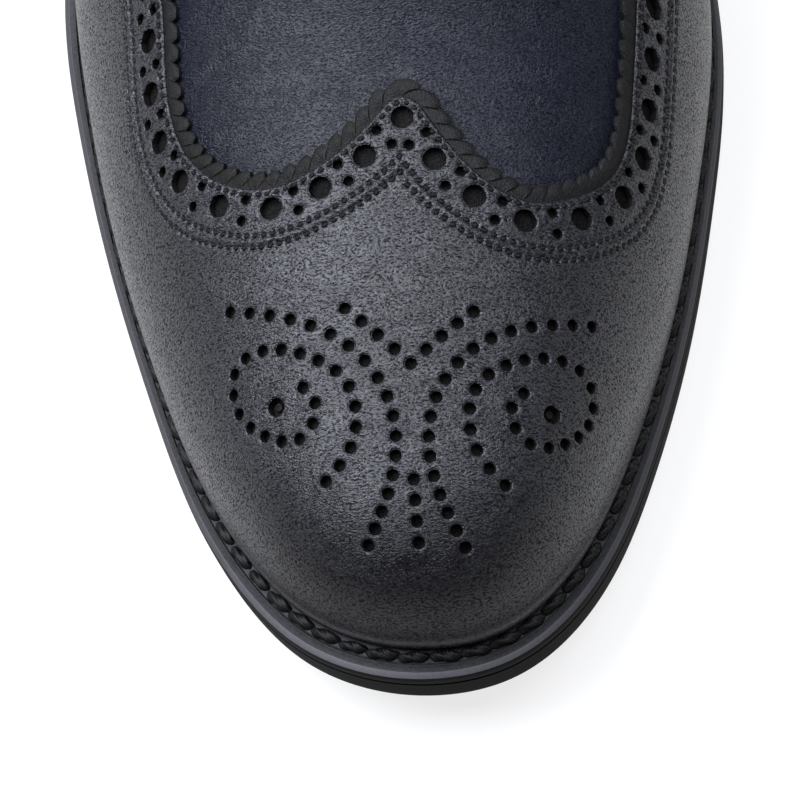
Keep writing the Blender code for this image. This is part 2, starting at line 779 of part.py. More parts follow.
class Pattern:
    """Places on the flattened upper, measured from the ridge line."""

    def __init__(self, sheet):
        self.length = sheet.top[0, :, 1]
        self.middle = 0.5 * (sheet.top[0, :, 0] + sheet.top[1, :, 0])
        self.nose = sheet.top[0, 0]
        self.ahead = sheet.across[0, 0]

    def axis(self, length):
        before = self.nose[0] + self.ahead[0] * (length - self.nose[1]) / self.ahead[1]
        return np.where(length < self.nose[1], before, np.interp(length, self.length, self.middle))

    def wing(self, side, shift, spacing):
        """The wing's line on one side, moved towards the vamp by a shift."""
        rows = np.array(INNER_WING if side == 1 else OUTER_WING) * (SHOE_WIDTH, SHOE_LENGTH)
        line = Curve(along(rows), rows)
        dense = line(np.linspace(0.0, line.t[-1], 600))
        step = unit(np.gradient(dense, axis=0))
        moved = dense + shift * np.stack([-step[:, 1], step[:, 0]], -1)
        if shift > 0.0:
            first = unit(moved[0] - dense[0])
            turn = np.linspace(0.0, np.arctan2(first[0], first[1]), 6)[:-1]
            corner = dense[0] + shift * np.stack([np.sin(turn), np.cos(turn)], -1)
            moved = np.vstack([corner, moved])
        else:
            inside = moved[:, 0] > 0.0
            start = int(np.argmax(inside))
            before, after = moved[start - 1], moved[start]
            part = before[0] / (before[0] - after[0])
            moved = np.vstack([before + (after - before) * part, moved[start:]])
        distance = along(moved)
        count = max(2, int(round(distance[-1] / spacing)) + 1)
        even = np.linspace(0.0, distance[-1], count)
        x = np.interp(even, distance, moved[:, 0])
        y = np.interp(even, distance, moved[:, 1])
        return np.stack([side * x + self.axis(y), y], -1)


def cross(a, b):
    return a[..., 0] * b[..., 1] - a[..., 1] * b[..., 0]


def cut_at(line, border):
    """The line up to where it first meets the border line; also the border's place."""
    for i in range(len(line) - 1):
        step = line[i + 1] - line[i]
        sides = border[1:] - border[:-1]
        bottom = cross(step, sides)
        bottom = np.where(np.abs(bottom) < 1e-15, 1e-15, bottom)
        away = border[:-1] - line[i]
        part = cross(away, sides) / bottom
        place = cross(away, step) / bottom
        hit = (part >= 0.0) & (part <= 1.0) & (place >= 0.0) & (place <= 1.0)
        if hit.any():
            k = int(np.argmax(hit))
            meet = line[i] + step * part[k]
            return np.vstack([line[: i + 1], meet]), k
    return line, len(border) - 2


def inside(points, ring):
    """Whether each point lies inside a closed ring."""
    result = np.zeros(len(points), bool)
    for a, b in zip(ring, np.roll(ring, -1, 0)):
        spans = (a[1] > points[:, 1]) != (b[1] > points[:, 1])
        slope = (b[0] - a[0]) / (b[1] - a[1] if b[1] != a[1] else 1e-15)
        result ^= spans & (points[:, 0] < a[0] + slope * (points[:, 1] - a[1]))
    return result


def distance_to(points, ring):
    best = np.full(len(points), 1.0)
    for a, b in zip(ring, np.roll(ring, -1, 0)):
        step = b - a
        part = np.clip(((points - a) @ step) / max(step @ step, 1e-15), 0.0, 1.0)
        best = np.minimum(best, np.linalg.norm(points - a - part[:, None] * step, axis=1))
    return best


def cut_piece(sheet, ring, clear_of_edge):
    """Triangles that fill a ring on the flattened upper, with the grid's own corners."""
    grid = sheet.flat()[:, :, 1:].reshape(-1, 2)
    keep = inside(grid, ring)
    keep[keep] = distance_to(grid[keep], ring) > clear_of_edge
    grid = grid[keep]
    steps = np.abs(grid[:, None] - grid[None]).max(-1) < SAME_PLACE
    first = ~np.triu(steps, 1).any(0)
    places = np.vstack([ring, grid[first]])
    scale = 1000.0
    edges = [(i, (i + 1) % len(ring)) for i in range(len(ring))]
    flat = [Vector((p[0] * scale, p[1] * scale)) for p in places]
    result = delaunay_2d_cdt(flat, edges, [], 1, 0.0001)
    places = np.array([(v.x / scale, v.y / scale) for v in result[0]])
    return places, [tuple(face) for face in result[2]]


def make_wing(sheet, pattern):
    """The winged cap, a layer on the upper from the feather to the wing's edge."""
    halves = []
    for k, side in enumerate((1, -1)):
        lift = FEATHER_LIFT / sheet.rise[k]
        feather = sheet.top[k] + sheet.across[k] * (sheet.rise[k] * (1.0 - lift))[:, None]
        line, meet = cut_at(pattern.wing(side, HOLES_TO_EDGE, WING_STEP), feather)
        halves.append(np.vstack([line, feather[: meet + 1][::-1]]))
    ring = np.vstack([halves[0], halves[1][::-1][1:-1]])
    places, faces = cut_piece(sheet, ring, WING_CLEAR)
    inner = sheet.place(places, GAP)
    outer = sheet.place(places, GAP + WING_THICKNESS)
    points, solid = thick_sheet(outer, inner, faces)
    return add_solid("wing_cap", points, solid, "navy_leather")


def make_strip(sheet, pattern):
    """The narrow toothed strip that edges the wing."""
    near = []
    far = []
    for k, side in enumerate((1, -1)):
        feather = sheet.top[k] + sheet.across[k] * (sheet.rise[k] - FEATHER_LIFT)[:, None]
        near.append(cut_at(pattern.wing(side, HOLES_TO_EDGE + GAP, STRIP_STEP), feather)[0])
        shift = HOLES_TO_EDGE + STRIP_WIDTH
        far.append(cut_at(pattern.wing(side, shift, STRIP_STEP), feather)[0])
    ring = np.vstack([near[0], far[0][::-1], far[1][1:], near[1][::-1][:-1]])
    places, faces = cut_piece(sheet, ring, STRIP_CLEAR)
    inner = sheet.place(places, GAP)
    outer = sheet.place(places, GAP + STRIP_THICKNESS)
    points, solid = thick_sheet(outer, inner, faces)
    return add_solid("edge_strip", points, solid, "black_leather")


def make_tongue(dense):
    """The tongue, under the facings and past their top corners."""
    half_widths = [TONGUE_HALF_WIDTH * share for share in (1.0, 0.68, 0.37, 0.13)]
    stations = np.linspace(TONGUE_START, CORNER, 15) * SHOE_LENGTH
    settle = FIRST_EYELET * SHOE_LENGTH - TONGUE_SETTLE
    rows = []
    ups = []
    for length in stations:
        drop = TONGUE_DROP * smooth_step((length - stations[0]) / (settle - stations[0]))
        depth = UPPER_WALL + GAP + float(drop)
        half = [face_frame(dense, 1, length, inset) for inset in half_widths]
        other = [face_frame(dense, -1, length, inset) for inset in half_widths[::-1]]
        tops = [face_frame(dense, side, length, 0.0) for side in (1, -1)]
        middle = (0.5 * (tops[0][0] + tops[1][0]), unit(tops[0][1] + tops[1][1]))
        line = half + [middle] + other
        rows.append([place - normal * depth for place, normal in line])
        ups.append([normal for place, normal in line])
    rows = np.array(rows)
    ups = np.array(ups)
    reach = unit(rows[-1, 4] - rows[-2, 4])
    for share, narrow in ((0.35, 0.99), (0.72, 0.93), (0.92, 0.80), (1.0, 0.62)):
        centre = rows[14, 4]
        line = centre + (rows[14] - centre) * narrow + reach * TONGUE_REACH * share
        rows = np.concatenate([rows, line[None]])
        ups = np.concatenate([ups, ups[14][None]])
    across = rows.shape[1]
    faces = []
    for i in range(len(rows) - 1):
        for j in range(across - 1):
            a = i * across + j
            faces.append((a, a + across, a + across + 1, a + 1))
    outer = rows.reshape(-1, 3)
    inner = outer - ups.reshape(-1, 3) * TONGUE_THICKNESS
    points, solid = thick_sheet(outer, inner, faces)
    return add_solid("tongue", points, solid, "navy_leather")


def make_lace(dense):
    """One lace in straight bars; both ends stop under the top eyelets."""
    eyelets = eyelet_places(dense.upper)
    over = 0.5 * LACE_WIDTH + GAP + LACE_LIFT
    under = -(UPPER_WALL + 0.5 * LACE_WIDTH + GAP + LACE_DIP)
    places = []

    def add(side, length, inset, height):
        place, normal = face_frame(dense, side, length, inset)
        places.append(place + normal * height)

    def bar(number, start):
        length = eyelets[number]
        for side, shares in ((start, (0.953, 0.659, 0.329)), (-start, (0.329, 0.659, 0.953))):
            for share in shares:
                drop = LACE_DIP if share > 0.9 else 0.0
                add(side, length, share * EYELET_INSET, over - drop)

    def leg(number, side):
        add(side, eyelets[number], EYELET_INSET, -0.5 * UPPER_WALL)

    def run(first, last, side, step):
        inset = EYELET_INSET + step
        add(side, eyelets[first] + LACE_TURN, EYELET_INSET + 0.2 * step, under)
        for way in (0.22, 0.5, 0.78):
            length = eyelets[first] + (eyelets[last] - eyelets[first]) * way
            add(side, length, inset, under)
        add(side, eyelets[last] - LACE_TURN, EYELET_INSET + 0.2 * step, under)

    # From the outer end under the top eyelet down the fourth, second and first bars
    add(-1, eyelets[4] - 0.5 * LACE_END, EYELET_INSET - LACE_SIDE_STEP, under)
    add(-1, eyelets[3] + 0.83 * LACE_END, EYELET_INSET - LACE_SIDE_STEP, under)
    add(-1, eyelets[3] + LACE_TURN, EYELET_INSET - 0.2 * LACE_SIDE_STEP, under)
    leg(3, -1)
    bar(3, -1)
    leg(3, 1)
    down = len(places)
    run(1, 3, 1, -LACE_SIDE_STEP)
    places[down:] = places[down:][::-1]
    leg(1, 1)
    bar(1, 1)
    leg(1, -1)
    down = len(places)
    run(0, 1, -1, 0.0)
    places[down:] = places[down:][::-1]
    leg(0, -1)
    bar(0, -1)
    leg(0, 1)
    run(0, 2, 1, LACE_SIDE_STEP)
    leg(2, 1)
    bar(2, 1)
    leg(2, -1)
    run(2, 4, -1, LACE_SIDE_STEP)
    leg(4, -1)
    bar(4, -1)
    leg(4, 1)
    add(1, eyelets[4] - LACE_TURN, EYELET_INSET, under)
    add(1, eyelets[4] - LACE_END, EYELET_INSET, under)

    places = np.array(places)
    path = Curve(along(places), places)
    even = to_frame(path(np.linspace(0.0, path.t[-1], LACE_POINTS)))
    curve = bpy.data.curves.new("lace", "CURVE")
    curve.dimensions = "3D"
    curve.bevel_depth = 0.5 * LACE_WIDTH
    curve.bevel_resolution = 2
    curve.use_fill_caps = True
    spline = curve.splines.new("POLY")
    spline.points.add(len(even) - 1)
    for point, place in zip(spline.points, even):
        point.co = (*place, 1.0)
    spline.use_smooth = True
    curve.materials.append(material("black_lace"))
    thing = bpy.data.objects.new("lace", curve)
    bpy.context.scene.collection.objects.link(thing)
    return thing


def clear():
    for thing in list(bpy.data.objects):
        bpy.data.objects.remove(thing, do_unlink=True)


def main():
    clear()
    sides = two_sides()
    upper = Upper(sides)
    front = np.linspace(0.0, upper.throat, 20)
    facing = np.linspace(upper.throat, upper.corner, 11)
    rear = np.linspace(upper.corner, 1.0, 19)
    shares = np.concatenate([front, facing[1:], rear[1:]])
    parts = 6
    fine = [np.linspace(a, b, parts, endpoint=False) for a, b in zip(shares, shares[1:])]
    dense = Sheet(upper, np.append(np.concatenate(fine), 1.0), 60)
    sheet = dense.pick(np.arange(0, len(dense.shares), parts), np.arange(0, 61, 6))
    pattern = Pattern(dense)
    make_outsole(sides, shares)
    make_insole(sides, shares, upper)
    make_welt(sides, shares, upper)
    split = HEEL_LIFT_THICKNESS
    whole = HEEL_HEIGHT - GAP
    middle = 0.0004 + HEEL_TAPER * (1.0 - split / whole)
    make_heel("heel_lift", sides, shares, (0.0, split), (0.0004 + HEEL_TAPER, middle), "black_rubber")
    make_heel("heel_block", sides, shares, (split + GAP, whole), (middle, 0.0004), "black_sole")
    make_upper(sheet, dense)
    make_wing(sheet, pattern)
    make_strip(sheet, pattern)
    make_tongue(dense)
    make_lace(dense)


main()
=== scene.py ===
"""A right brogue shoe in navy leather, seen from above its toe."""

import bmesh
import bpy
import numpy as np
from mathutils import Matrix, Vector
from mathutils.geometry import delaunay_2d_cdt
from mathutils.kdtree import KDTree


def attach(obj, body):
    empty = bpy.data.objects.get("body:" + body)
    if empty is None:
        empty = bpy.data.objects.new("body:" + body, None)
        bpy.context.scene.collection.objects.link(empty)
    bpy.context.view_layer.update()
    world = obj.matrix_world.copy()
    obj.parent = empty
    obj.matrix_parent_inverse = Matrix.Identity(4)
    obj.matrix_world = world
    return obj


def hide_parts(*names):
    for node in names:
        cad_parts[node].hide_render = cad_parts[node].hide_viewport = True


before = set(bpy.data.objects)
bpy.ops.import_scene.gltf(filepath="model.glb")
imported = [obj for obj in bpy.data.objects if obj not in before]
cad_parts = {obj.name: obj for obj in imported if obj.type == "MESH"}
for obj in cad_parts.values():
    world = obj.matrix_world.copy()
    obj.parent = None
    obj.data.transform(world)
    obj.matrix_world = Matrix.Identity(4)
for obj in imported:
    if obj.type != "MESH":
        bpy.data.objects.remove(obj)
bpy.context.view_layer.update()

# Sizes of the last and sole, in metres
SHOE_LENGTH = 0.304
SHOE_WIDTH = 0.112
HEEL_HEIGHT = 0.026
TOE_SPRING = 0.0113
EDGE_UNDERCUT = 0.0005
OUTSOLE_THICKNESS = 0.006
WELT_THICKNESS = 0.003
STORM_LIP = 0.0016
HEEL_LIFT_THICKNESS = 0.006
HEEL_TAPER = 0.0016
BREAST_CURVE = 0.004
INSTEP_HEIGHT = 0.112
FEATHER_MARGIN = 0.0062

# Sizes of the upper, in metres
UPPER_WALL = 0.0020
WING_THICKNESS = 0.0012
HOLES_TO_EDGE = 0.0034
STRIP_WIDTH = 0.0028
THROAT_GAP = 0.0070
RIDGE_FRONT = 0.040
RIDGE_BLEND = 0.022
ANKLE_DIFFERENCE = 0.0015

# Sizes of the insole, tongue and lacing, in metres
INSOLE_THICKNESS = 0.0030
TONGUE_THICKNESS = 0.0026
TONGUE_DROP = 0.0034
TONGUE_REACH = 0.011
LACE_WIDTH = 0.0024
EYELET_WIDTH = 0.0048
EYELET_INSET = 0.0085
EYELET_PAIRS = 5

# The clearance that all touching pieces keep, in metres
GAP = 0.0003

# Places along the shoe, as shares of its length from the toe tip
SPRING_START = 0.27
TREAD_END = 0.40
BREAST = 0.75
THROAT = 0.372
CORNER = 0.586
CORNER_REACH = 0.11
FIRST_EYELET = 0.405
LAST_EYELET = 0.565
TONGUE_START = 0.335
HEEL_CENTRE = 0.034

# The sole's outline: share of length, share of width (inner side is plus)
OUTLINE = (
    (-0.0012, 0.0626),
    (0.0077, 0.1834),
    (0.0541, 0.3071),
    (0.1241, 0.3844),
    (0.2170, 0.4482),
    (0.3000, 0.4846),
    (0.3720, 0.5021),
    (0.445, 0.483),
    (0.530, 0.422),
    (0.615, 0.368),
    (0.700, 0.354),
    (0.790, 0.366),
    (0.880, 0.360),
    (0.950, 0.292),
    (0.989, 0.165),
    (1.000, 0.040),
    (0.988, -0.088),
    (0.950, -0.212),
    (0.880, -0.284),
    (0.790, -0.306),
    (0.700, -0.330),
    (0.610, -0.382),
    (0.520, -0.462),
    (0.437, -0.500),
    (0.3601, -0.4786),
    (0.2524, -0.4130),
    (0.1804, -0.3540),
    (0.1063, -0.2799),
    (0.0569, -0.2032),
    (0.0219, -0.1151),
)

# The last's ridge: share of length, share of instep height, share of width
RIDGE = (
    (0.100, 0.392, 0.076),
    (0.150, 0.428, 0.072),
    (0.200, 0.450, 0.069),
    (0.260, 0.478, 0.067),
    (0.320, 0.524, 0.066),
    (0.380, 0.605, 0.062),
    (0.460, 0.760, 0.052),
    (0.540, 0.920, 0.040),
    (0.586, 1.000, 0.034),
)

# Each side from the toe tip to the heel's back: share of the way, inner and outer
# share of the feather margin, inner and outer lean at the feather, pull there,
# pull at the top, lean at the top
SIDE = (
    (0.00, 1.00, 1.00, 4, 4, 0.46, 0.40, 0),
    (0.08, 0.86, 0.94, 5, 4, 0.46, 0.40, 0),
    (0.20, 0.68, 0.70, 9, 6, 0.44, 0.40, 0),
    (0.34, 0.58, 0.69, 12, 5, 0.40, 0.38, 0),
    (0.45, 0.58, 0.83, 14, 6, 0.38, 0.31, 8),
    (0.57, 0.60, 0.74, 17, 10, 0.36, 0.26, 16),
    (0.62, 0.60, 0.71, 16, 10, 0.35, 0.29, 36),
    (0.68, 0.60, 0.66, 14, 10, 0.34, 0.33, 60),
    (0.78, 0.58, 0.60, 12, 8, 0.34, 0.36, 77),
    (0.90, 0.57, 0.57, 10, 8, 0.34, 0.36, 82),
    (1.00, 0.56, 0.56, 12, 12, 0.34, 0.36, 82),
)

# The collar from the facing's corner to the back: share of the way, share of
# length, half width as a share of width, share of instep height
COLLAR = (
    (0.00, 0.586, 0.030, 1.000),
    (0.10, 0.612, 0.150, 0.968),
    (0.22, 0.654, 0.245, 0.882),
    (0.36, 0.712, 0.292, 0.775),
    (0.52, 0.788, 0.292, 0.722),
    (0.68, 0.862, 0.268, 0.735),
    (0.82, 0.925, 0.205, 0.782),
    (0.92, 0.966, 0.105, 0.830),
    (1.00, 0.978, 0.000, 0.848),
)

# The wing's row of large holes from its peak back to the feather, on the flattened
# upper: distance from the ridge as a share of width, share of length
INNER_WING = (
    (0.000, 0.272),
    (0.046, 0.248),
    (0.100, 0.229),
    (0.173, 0.219),
    (0.261, 0.227),
    (0.339, 0.248),
    (0.375, 0.274),
    (0.389, 0.302),
    (0.400, 0.329),
    (0.424, 0.372),
    (0.500, 0.446),
    (0.630, 0.520),
    (0.800, 0.590),
    (0.920, 0.625),
)
OUTER_WING = (
    (0.000, 0.272),
    (0.054, 0.253),
    (0.117, 0.239),
    (0.190, 0.232),
    (0.278, 0.240),
    (0.353, 0.261),
    (0.396, 0.289),
    (0.411, 0.317),
    (0.414, 0.346),
    (0.440, 0.400),
    (0.515, 0.465),
    (0.640, 0.530),
    (0.800, 0.600),
    (0.960, 0.660),
)

# Curves and steps


def smooth_step(x):
    x = np.clip(x, 0.0, 1.0)
    return x * x * (3.0 - 2.0 * x)


class Curve:
    """A cubic curve through a table's rows, with even slope and bend where they meet."""

    def __init__(self, places, values, closed=False):
        t = np.asarray(places, float)
        v = np.asarray(values, float)
        if closed:
            v = np.vstack([v, v[:1]])
        n = len(t)
        h = np.diff(t)
        matrix = np.zeros((n, n))
        right = np.zeros((n, v.shape[1]))
        for i in range(1, n - 1):
            matrix[i, i - 1] = h[i - 1]
            matrix[i, i] = 2.0 * (h[i - 1] + h[i])
            matrix[i, i + 1] = h[i]
            right[i] = 6.0 * ((v[i + 1] - v[i]) / h[i] - (v[i] - v[i - 1]) / h[i - 1])
        if closed:
            matrix[0, 0] = 2.0 * (h[-1] + h[0])
            matrix[0, 1] = h[0]
            matrix[0, n - 2] = h[-1]
            right[0] = 6.0 * ((v[1] - v[0]) / h[0] - (v[-1] - v[-2]) / h[-1])
            matrix[-1, 0] = 1.0
            matrix[-1, -1] = -1.0
        else:
            matrix[0, 0] = 1.0
            matrix[-1, -1] = 1.0
        self.t = t
        self.v = v
        self.bend = np.linalg.solve(matrix, right)

    def __call__(self, x):
        x = np.asarray(x, float)
        flat = x.reshape(-1)
        i = np.clip(np.searchsorted(self.t, flat) - 1, 0, len(self.t) - 2)
        h = (self.t[i + 1] - self.t[i])[:, None]
        p = (self.t[i + 1] - flat)[:, None]
        q = (flat - self.t[i])[:, None]
        y = (self.bend[i] * p**3 + self.bend[i + 1] * q**3) / (6.0 * h)
        y = y + (self.v[i] / h - self.bend[i] * h / 6.0) * p
        y = y + (self.v[i + 1] / h - self.bend[i + 1] * h / 6.0) * q
        return y.reshape(x.shape + (self.v.shape[1],))


def along(points):
    """Distance along a line of points."""
    steps = np.linalg.norm(np.diff(points, axis=0), axis=1)
    return np.concatenate([[0.0], np.cumsum(steps)])


def unit(v):
    return v / np.maximum(np.linalg.norm(v, axis=-1, keepdims=True), 1e-12)


# The sole's shape


def tread(length):
    """Height of the outsole's underside at a length from the toe tip."""
    share = np.asarray(length, float) / SHOE_LENGTH
    toe = TOE_SPRING * np.clip(1.0 - share / SPRING_START, 0.0, None) ** 2
    waist = HEEL_HEIGHT * smooth_step((share - TREAD_END) / (BREAST - TREAD_END))
    return toe + waist


class Side:
    """One side of the sole from the toe tip to the heel's back, by share of the way."""

    def __init__(self, line, outward):
        distance = along(line)
        self.length = distance[-1]
        self.share = distance / distance[-1]
        self.line = line
        self.outward = unit(outward)

    def edge(self, share, inset=0.0):
        """Plan points (x, length) at an inset from the sole's edge."""
        x = np.interp(share, self.share, self.line[:, 0])
        y = np.interp(share, self.share, self.line[:, 1])
        inset = np.broadcast_to(inset, np.shape(share))
        return np.stack([x, y], -1) - self.normal(share) * inset[..., None]

    def normal(self, share):
        x = np.interp(share, self.share, self.outward[:, 0])
        y = np.interp(share, self.share, self.outward[:, 1])
        return unit(np.stack([x, y], -1))


def two_sides():
    """The inner (+1) and outer (-1) side of the sole."""
    rows = np.array(OUTLINE)[:, ::-1] * (SHOE_WIDTH, SHOE_LENGTH)
    ring = Curve(along(np.vstack([rows, rows[:1]])), rows, closed=True)
    dense = ring(np.linspace(0.0, ring.t[-1], 2000, endpoint=False))
    dense[:, 0] -= 0.5 * (dense[:, 0].max() + dense[:, 0].min())
    dense[:, 0] *= 0.5 * SHOE_WIDTH / dense[:, 0].max()
    dense[:, 1] -= dense[:, 1].min()
    dense[:, 1] *= SHOE_LENGTH / dense[:, 1].max()
    step = np.roll(dense, -1, 0) - np.roll(dense, 1, 0)
    outward = np.stack([step[:, 1], -step[:, 0]], -1)
    toe = int(np.argmin(dense[:, 1]))
    order = np.roll(np.arange(len(dense)), -toe)
    back = int(np.argmax(dense[order, 1]))
    inner = order[: back + 1]
    outer = np.concatenate([order[back:], order[:1]])[::-1]
    return {1: Side(dense[inner], outward[inner]), -1: Side(dense[outer], outward[outer])}


# The upper's shape


class Upper:
    """The upper's outer face in columns from the feather line to the ridge or top edge."""

    def __init__(self, sides):
        self.sides = sides
        rows = np.array(SIDE)
        self.side_rows = Curve(rows[:, 0], rows[:, 1:])
        rows = np.array(RIDGE) * (SHOE_LENGTH, INSTEP_HEIGHT, SHOE_WIDTH)
        self.ridge = Curve(rows[:, 0], rows[:, 1:])
        rows = np.array(COLLAR) * (1.0, SHOE_LENGTH, SHOE_WIDTH, INSTEP_HEIGHT)
        self.collar = Curve(rows[:, 0], rows[:, 1:])
        self.shares = np.linspace(0.0, 1.0, 1601)
        middle = 0.5 * (self.feather(1, self.shares) + self.feather(-1, self.shares))
        ahead = middle[:, 1] - RIDGE_FRONT
        spread = np.sqrt(ahead**2 + RIDGE_BLEND**2)
        self.ridge_length = RIDGE_FRONT + 0.5 * (ahead + spread)
        self.throat = np.interp(THROAT * SHOE_LENGTH, self.ridge_length, self.shares)
        self.corner = np.interp(CORNER * SHOE_LENGTH, self.ridge_length, self.shares)

    def margin(self, side, share):
        column = 0 if side == 1 else 1
        return self.side_rows(share)[..., column] * FEATHER_MARGIN

    def feather(self, side, share):
        """The feather line, level with the top of the storm lip."""
        plan = self.sides[side].edge(share, self.margin(side, share))
        lip = OUTSOLE_THICKNESS + WELT_THICKNESS + STORM_LIP + 2.0 * GAP
        return np.concatenate([plan, (tread(plan[..., 1]) + lip)[..., None]], -1)

    def ridge_point(self, length):
        height, x = np.moveaxis(self.ridge(length), -1, 0)
        return np.stack([x, length, height], -1)

    def top(self, side, share):
        """The ridge, the facing's edge or the collar's top edge."""
        share = np.asarray(share, float)
        length = np.interp(share, self.shares, self.ridge_length)
        ridge = self.ridge_point(length)
        way = (length / SHOE_LENGTH - THROAT) / (CORNER - THROAT)
        half_gap = 0.5 * THROAT_GAP * np.sqrt(np.clip(way, 0.0, 1.0))
        ridge[..., 0] += side * half_gap
        way = np.clip((share - self.corner) / (1.0 - self.corner), 0.0, 1.0)
        length, half, height = np.moveaxis(self.collar(way), -1, 0)
        start = self.ridge(CORNER * SHOE_LENGTH)[..., 1]
        middle = start + (HEEL_CENTRE * SHOE_WIDTH - start) * smooth_step(1.6 * way)
        first = 0.5 * THROAT_GAP - COLLAR[0][2] * SHOE_WIDTH
        half = half + first * np.clip(1.0 - way / COLLAR[1][0], 0.0, 1.0)
        height = height + side * ANKLE_DIFFERENCE * np.sin(np.pi * way)
        collar = np.stack([middle + side * half, length, height], -1)
        return np.where((share > self.corner)[..., None], collar, ridge)

    def soft_top(self, side, share):
        """The top edge with the facing's corner rounded off, which the face below follows."""
        near = smooth_step(1.0 - np.abs(share - self.corner) / CORNER_REACH)
        total = np.zeros(np.shape(share) + (3,))
        for step in np.linspace(-0.5, 0.5, 9):
            total = total + self.top(side, share + step * CORNER_REACH * near)
        return total / 9.0

    def column(self, side, share, way):
        """Points on the columns at the shares, at the ways from feather (0) to top (1)."""
        share = np.asarray(share, float)
        foot = self.feather(side, share)
        top = self.soft_top(side, share)
        rows = np.moveaxis(self.side_rows(share), -1, 0)
        lean = np.radians(rows[2] if side == 1 else rows[3])
        pull, top_pull, top_lean = rows[4:]
        top_lean = np.radians(top_lean)
        chord = np.linalg.norm(top - foot, axis=-1)
        across = self.direction(side, share)
        outward = self.sides[side].normal(share)
        rise = self.ridge(top[..., 1] + 0.0001)[..., 0] - self.ridge(top[..., 1] - 0.0001)[..., 0]
        blend = smooth_step((share - self.throat) / (self.corner - self.throat))
        slope = rise / 0.0002 * (1.0 - blend)
        first = np.concatenate([outward * np.sin(lean)[..., None], np.cos(lean)[..., None]], -1)
        drop = slope * across[..., 1] * np.cos(top_lean) - np.sin(top_lean)
        last = np.concatenate([across * np.cos(top_lean)[..., None], drop[..., None]], -1)
        near_foot = foot + (pull * chord)[..., None] * first
        near_top = top + (top_pull * chord)[..., None] * last
        t = np.asarray(way, float)[..., None]
        s = 1.0 - t
        face = foot * s**3 + near_foot * 3 * s * s * t + near_top * 3 * s * t * t + top * t**3
        return face + (self.top(side, share) - top) * t**5

    def direction(self, side, share):
        """The plan direction from the top towards the feather."""
        share = np.asarray(share, float)
        plan = unit((self.feather(side, share) - self.top(side, share))[..., :2])
        blend = smooth_step((share - self.throat) / (self.corner - self.throat))[..., None]
        return unit(plan * (1.0 - blend) + self.sides[side].normal(share) * blend)


